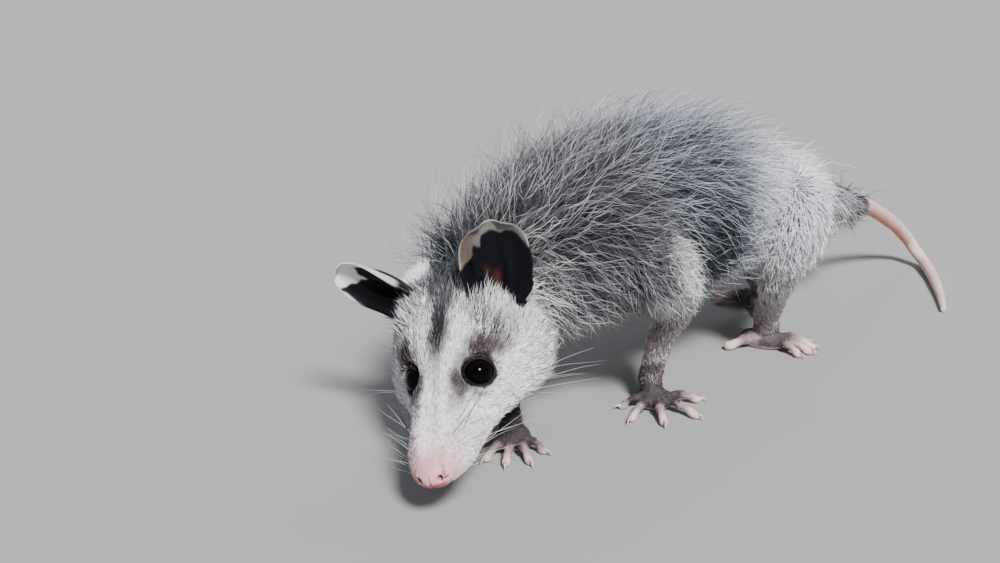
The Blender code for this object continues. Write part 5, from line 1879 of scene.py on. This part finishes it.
# fluffy white tuft behind and inside each ear
for k, s in enumerate((1, -1)):
    centre = np.array((6.0, 24.5, 28.5)) if s > 0 else np.array((3.5, -28.5, 27.0))
    d = np.linalg.norm(tri_head - centre, axis=1)
    ring = ((tri_part == 0) & ~tri_ear) * (step01(11.5, 6.0, d) if s > 0 else step01(14.0, 8.0, d))
    pts, nor = scatter(ring, int((1000 if s > 0 else 1500) * FEW), 861 + k)
    w = Where(pts)
    out = unit(w.head - centre + np.array((0, 0, 14.0))) @ HEAD_AXES
    tan = unit(out - nor * (out * nor).sum(1)[:, None])
    rng = np.random.default_rng(40 + k)
    c = np.tile(np.array((0.88, 0.88, 0.92)), (len(pts), 1))
    tufts(f"coat_ear_tuft_{k + 1}", w, nor, tan, rng.uniform(9, 15.5, len(pts)), 0.42,
          1.05 + rng.normal(0, 0.15, len(pts)), 0.3, 0.30, c, c * 0.72, 3, 880 + k, MAT_SOFT,
          clump=0.25, clump_size=3.0, sink=0.2)

# ------------------------------------------------------------ whiskers
rows_w = []
rng = np.random.default_rng(31)
for s in (1, -1):
    for r in range(4):                              # four rows on the pad
        for q in range(4):
            x0 = 94 - 5.0 * q + rng.normal(0, 0.5)
            z0 = 4.2 - 2.7 * r + rng.normal(0, 0.3) + 0.35 * q
            rows_w.append((x0, s, z0, rng.uniform(17, 24) + 5.0 * q, rng.random() < 0.40, 0))
    for q in range(7):                              # cheek
        rows_w.append((44 + rng.normal(0, 4), s, -5 + rng.normal(0, 4.0), rng.uniform(25, 38), rng.random() < 0.12, 1))
    for q in range(2):                              # brow
        rows_w.append((52 + rng.normal(0, 2), s, 21 + rng.normal(0, 1), rng.uniform(18, 26), True, 2))
    for x0, z0, ln in ((88, 8.5, 25), (84, 6.5, 33), (80, 9.5, 21)):    # dark ones back over the cheek
        rows_w.append((x0, s, z0, ln, True, 3))
face_tris = np.where(on_head > 0)[0]
wp, wn, wl, wc, wk = [], [], [], [], []
for x0, s, z0, ln, black, kind in rows_w:
    tgt = tri_head[face_tris]
    d = np.hypot(tgt[:, 0] - x0, tgt[:, 2] - z0) + 50 * (np.sign(tgt[:, 1]) != s)
    if kind == 2:
        d = np.hypot(tgt[:, 0] - x0, tgt[:, 1] - s * 14.5) + 50 * (tgt[:, 2] < 8)
    k = face_tris[np.argmin(d)]
    wp.append(MIDP[k])
    wn.append(unit(VN[TRI[k]].mean(axis=0)))
    wl.append(ln)
    wc.append((0.02, 0.018, 0.02) if black else (0.62, 0.62, 0.64))
    wk.append(kind)
wp, wn, wl, wc, wk = np.array(wp), np.array(wn), np.array(wl), np.array(wc), np.array(wk)
w = Where(wp)
sgn = np.sign(w.head[:, 1])
fan = np.c_[np.full(len(wp), -0.75), sgn * 0.55, np.where(wk == 1, -0.30, np.where(wk == 2, 0.55, -0.12))]
fan[:, 2] += rng.normal(0, 0.16, len(wp))
fan[wk == 3] = np.c_[np.full(6, -0.90), sgn[wk == 3] * 0.34, (0.14, 0.30, 0.22, 0.14, 0.30, 0.22)]
fan = fan @ HEAD_AXES
wway = unit(fan - wn * (fan * wn).sum(1)[:, None])
tufts("whiskers", w, wn, wway, wl, np.where(wk == 3, 0.32, 0.18), np.where(wk == 3, 0.40, 0.62 + rng.normal(0, 0.08, len(wp))), 0.35, 0.05,
      wc, wc, 8, 900, MAT_WHISKER, droop=0.34, sink=0.3)

print("COAT TOTAL", COAT_TRIS, "SKIN", len(skin.data.loop_triangles))

# ------------------------------------------------------------ floor, light, camera
bpy.ops.mesh.primitive_plane_add(size=1.0, location=(0, 0, 0))
floor = bpy.context.object
floor.name = "studio_floor"
floor.data.transform(Matrix.Diagonal((14.0, 14.0, 1.0, 1.0)))
mat, nt, bsdf = material("studio_floor")
pos = nt.nodes.new("ShaderNodeTexCoord")
ns = node(nt, "ShaderNodeTexNoise", Scale=3.0, Detail=2.0)
nt.links.new(pos.outputs["Object"], ns.inputs["Vector"])
rmp = nt.nodes.new("ShaderNodeMapRange")
rmp.inputs["To Min"].default_value = 0.29
rmp.inputs["To Max"].default_value = 0.32
nt.links.new(ns.outputs["Fac"], rmp.inputs["Value"])
cmb = nt.nodes.new("ShaderNodeCombineXYZ")
for i in range(3):
    nt.links.new(rmp.outputs["Result"], cmb.inputs[i])
nt.links.new(cmb.outputs["Vector"], bsdf.inputs["Base Color"])
bsdf.inputs["Roughness"].default_value = 0.85
floor.data.materials.append(mat)

world = bpy.data.worlds.new("studio")
world.use_nodes = True
world.node_tree.nodes["Background"].inputs["Color"].default_value = (0.90, 0.93, 1.0, 1.0)
world.node_tree.nodes["Background"].inputs["Strength"].default_value = 0.34
bpy.context.scene.world = world


def sun(name, at, energy, angle, colour):
    light = bpy.data.lights.new(name, "SUN")
    light.energy, light.angle, light.color = energy, angle, colour
    ob = bpy.data.objects.new(name, light)
    bpy.context.scene.collection.objects.link(ob)
    ob.location = at
    ob.rotation_euler = (-Vector(at)).to_track_quat("-Z", "Y").to_euler()
    return ob


sun("key", (-0.55, -1.05, 1.20), 7.6, 0.22, (1.0, 0.99, 0.98))
sun("rim", (0.9, 0.5, 1.0), 0.35, 0.3, (0.95, 0.97, 1.0))

cam = bpy.data.cameras.new("camera")
cam.lens, cam.sensor_width = 48.35, 36.0
cam.clip_start, cam.clip_end = 0.02, 50.0
cam_ob = bpy.data.objects.new("camera", cam)
bpy.context.scene.collection.objects.link(cam_ob)
cam_ob.location = (ORIGIN_X - 0.58536, ORIGIN_Y - 0.42368, 0.28998)
pitch = radians(18.3)
way = Vector((0.7303 * cos(pitch), 0.6831 * cos(pitch), -sin(pitch)))
cam_ob.rotation_euler = way.to_track_quat("-Z", "Y").to_euler()
bpy.context.scene.camera = cam_ob
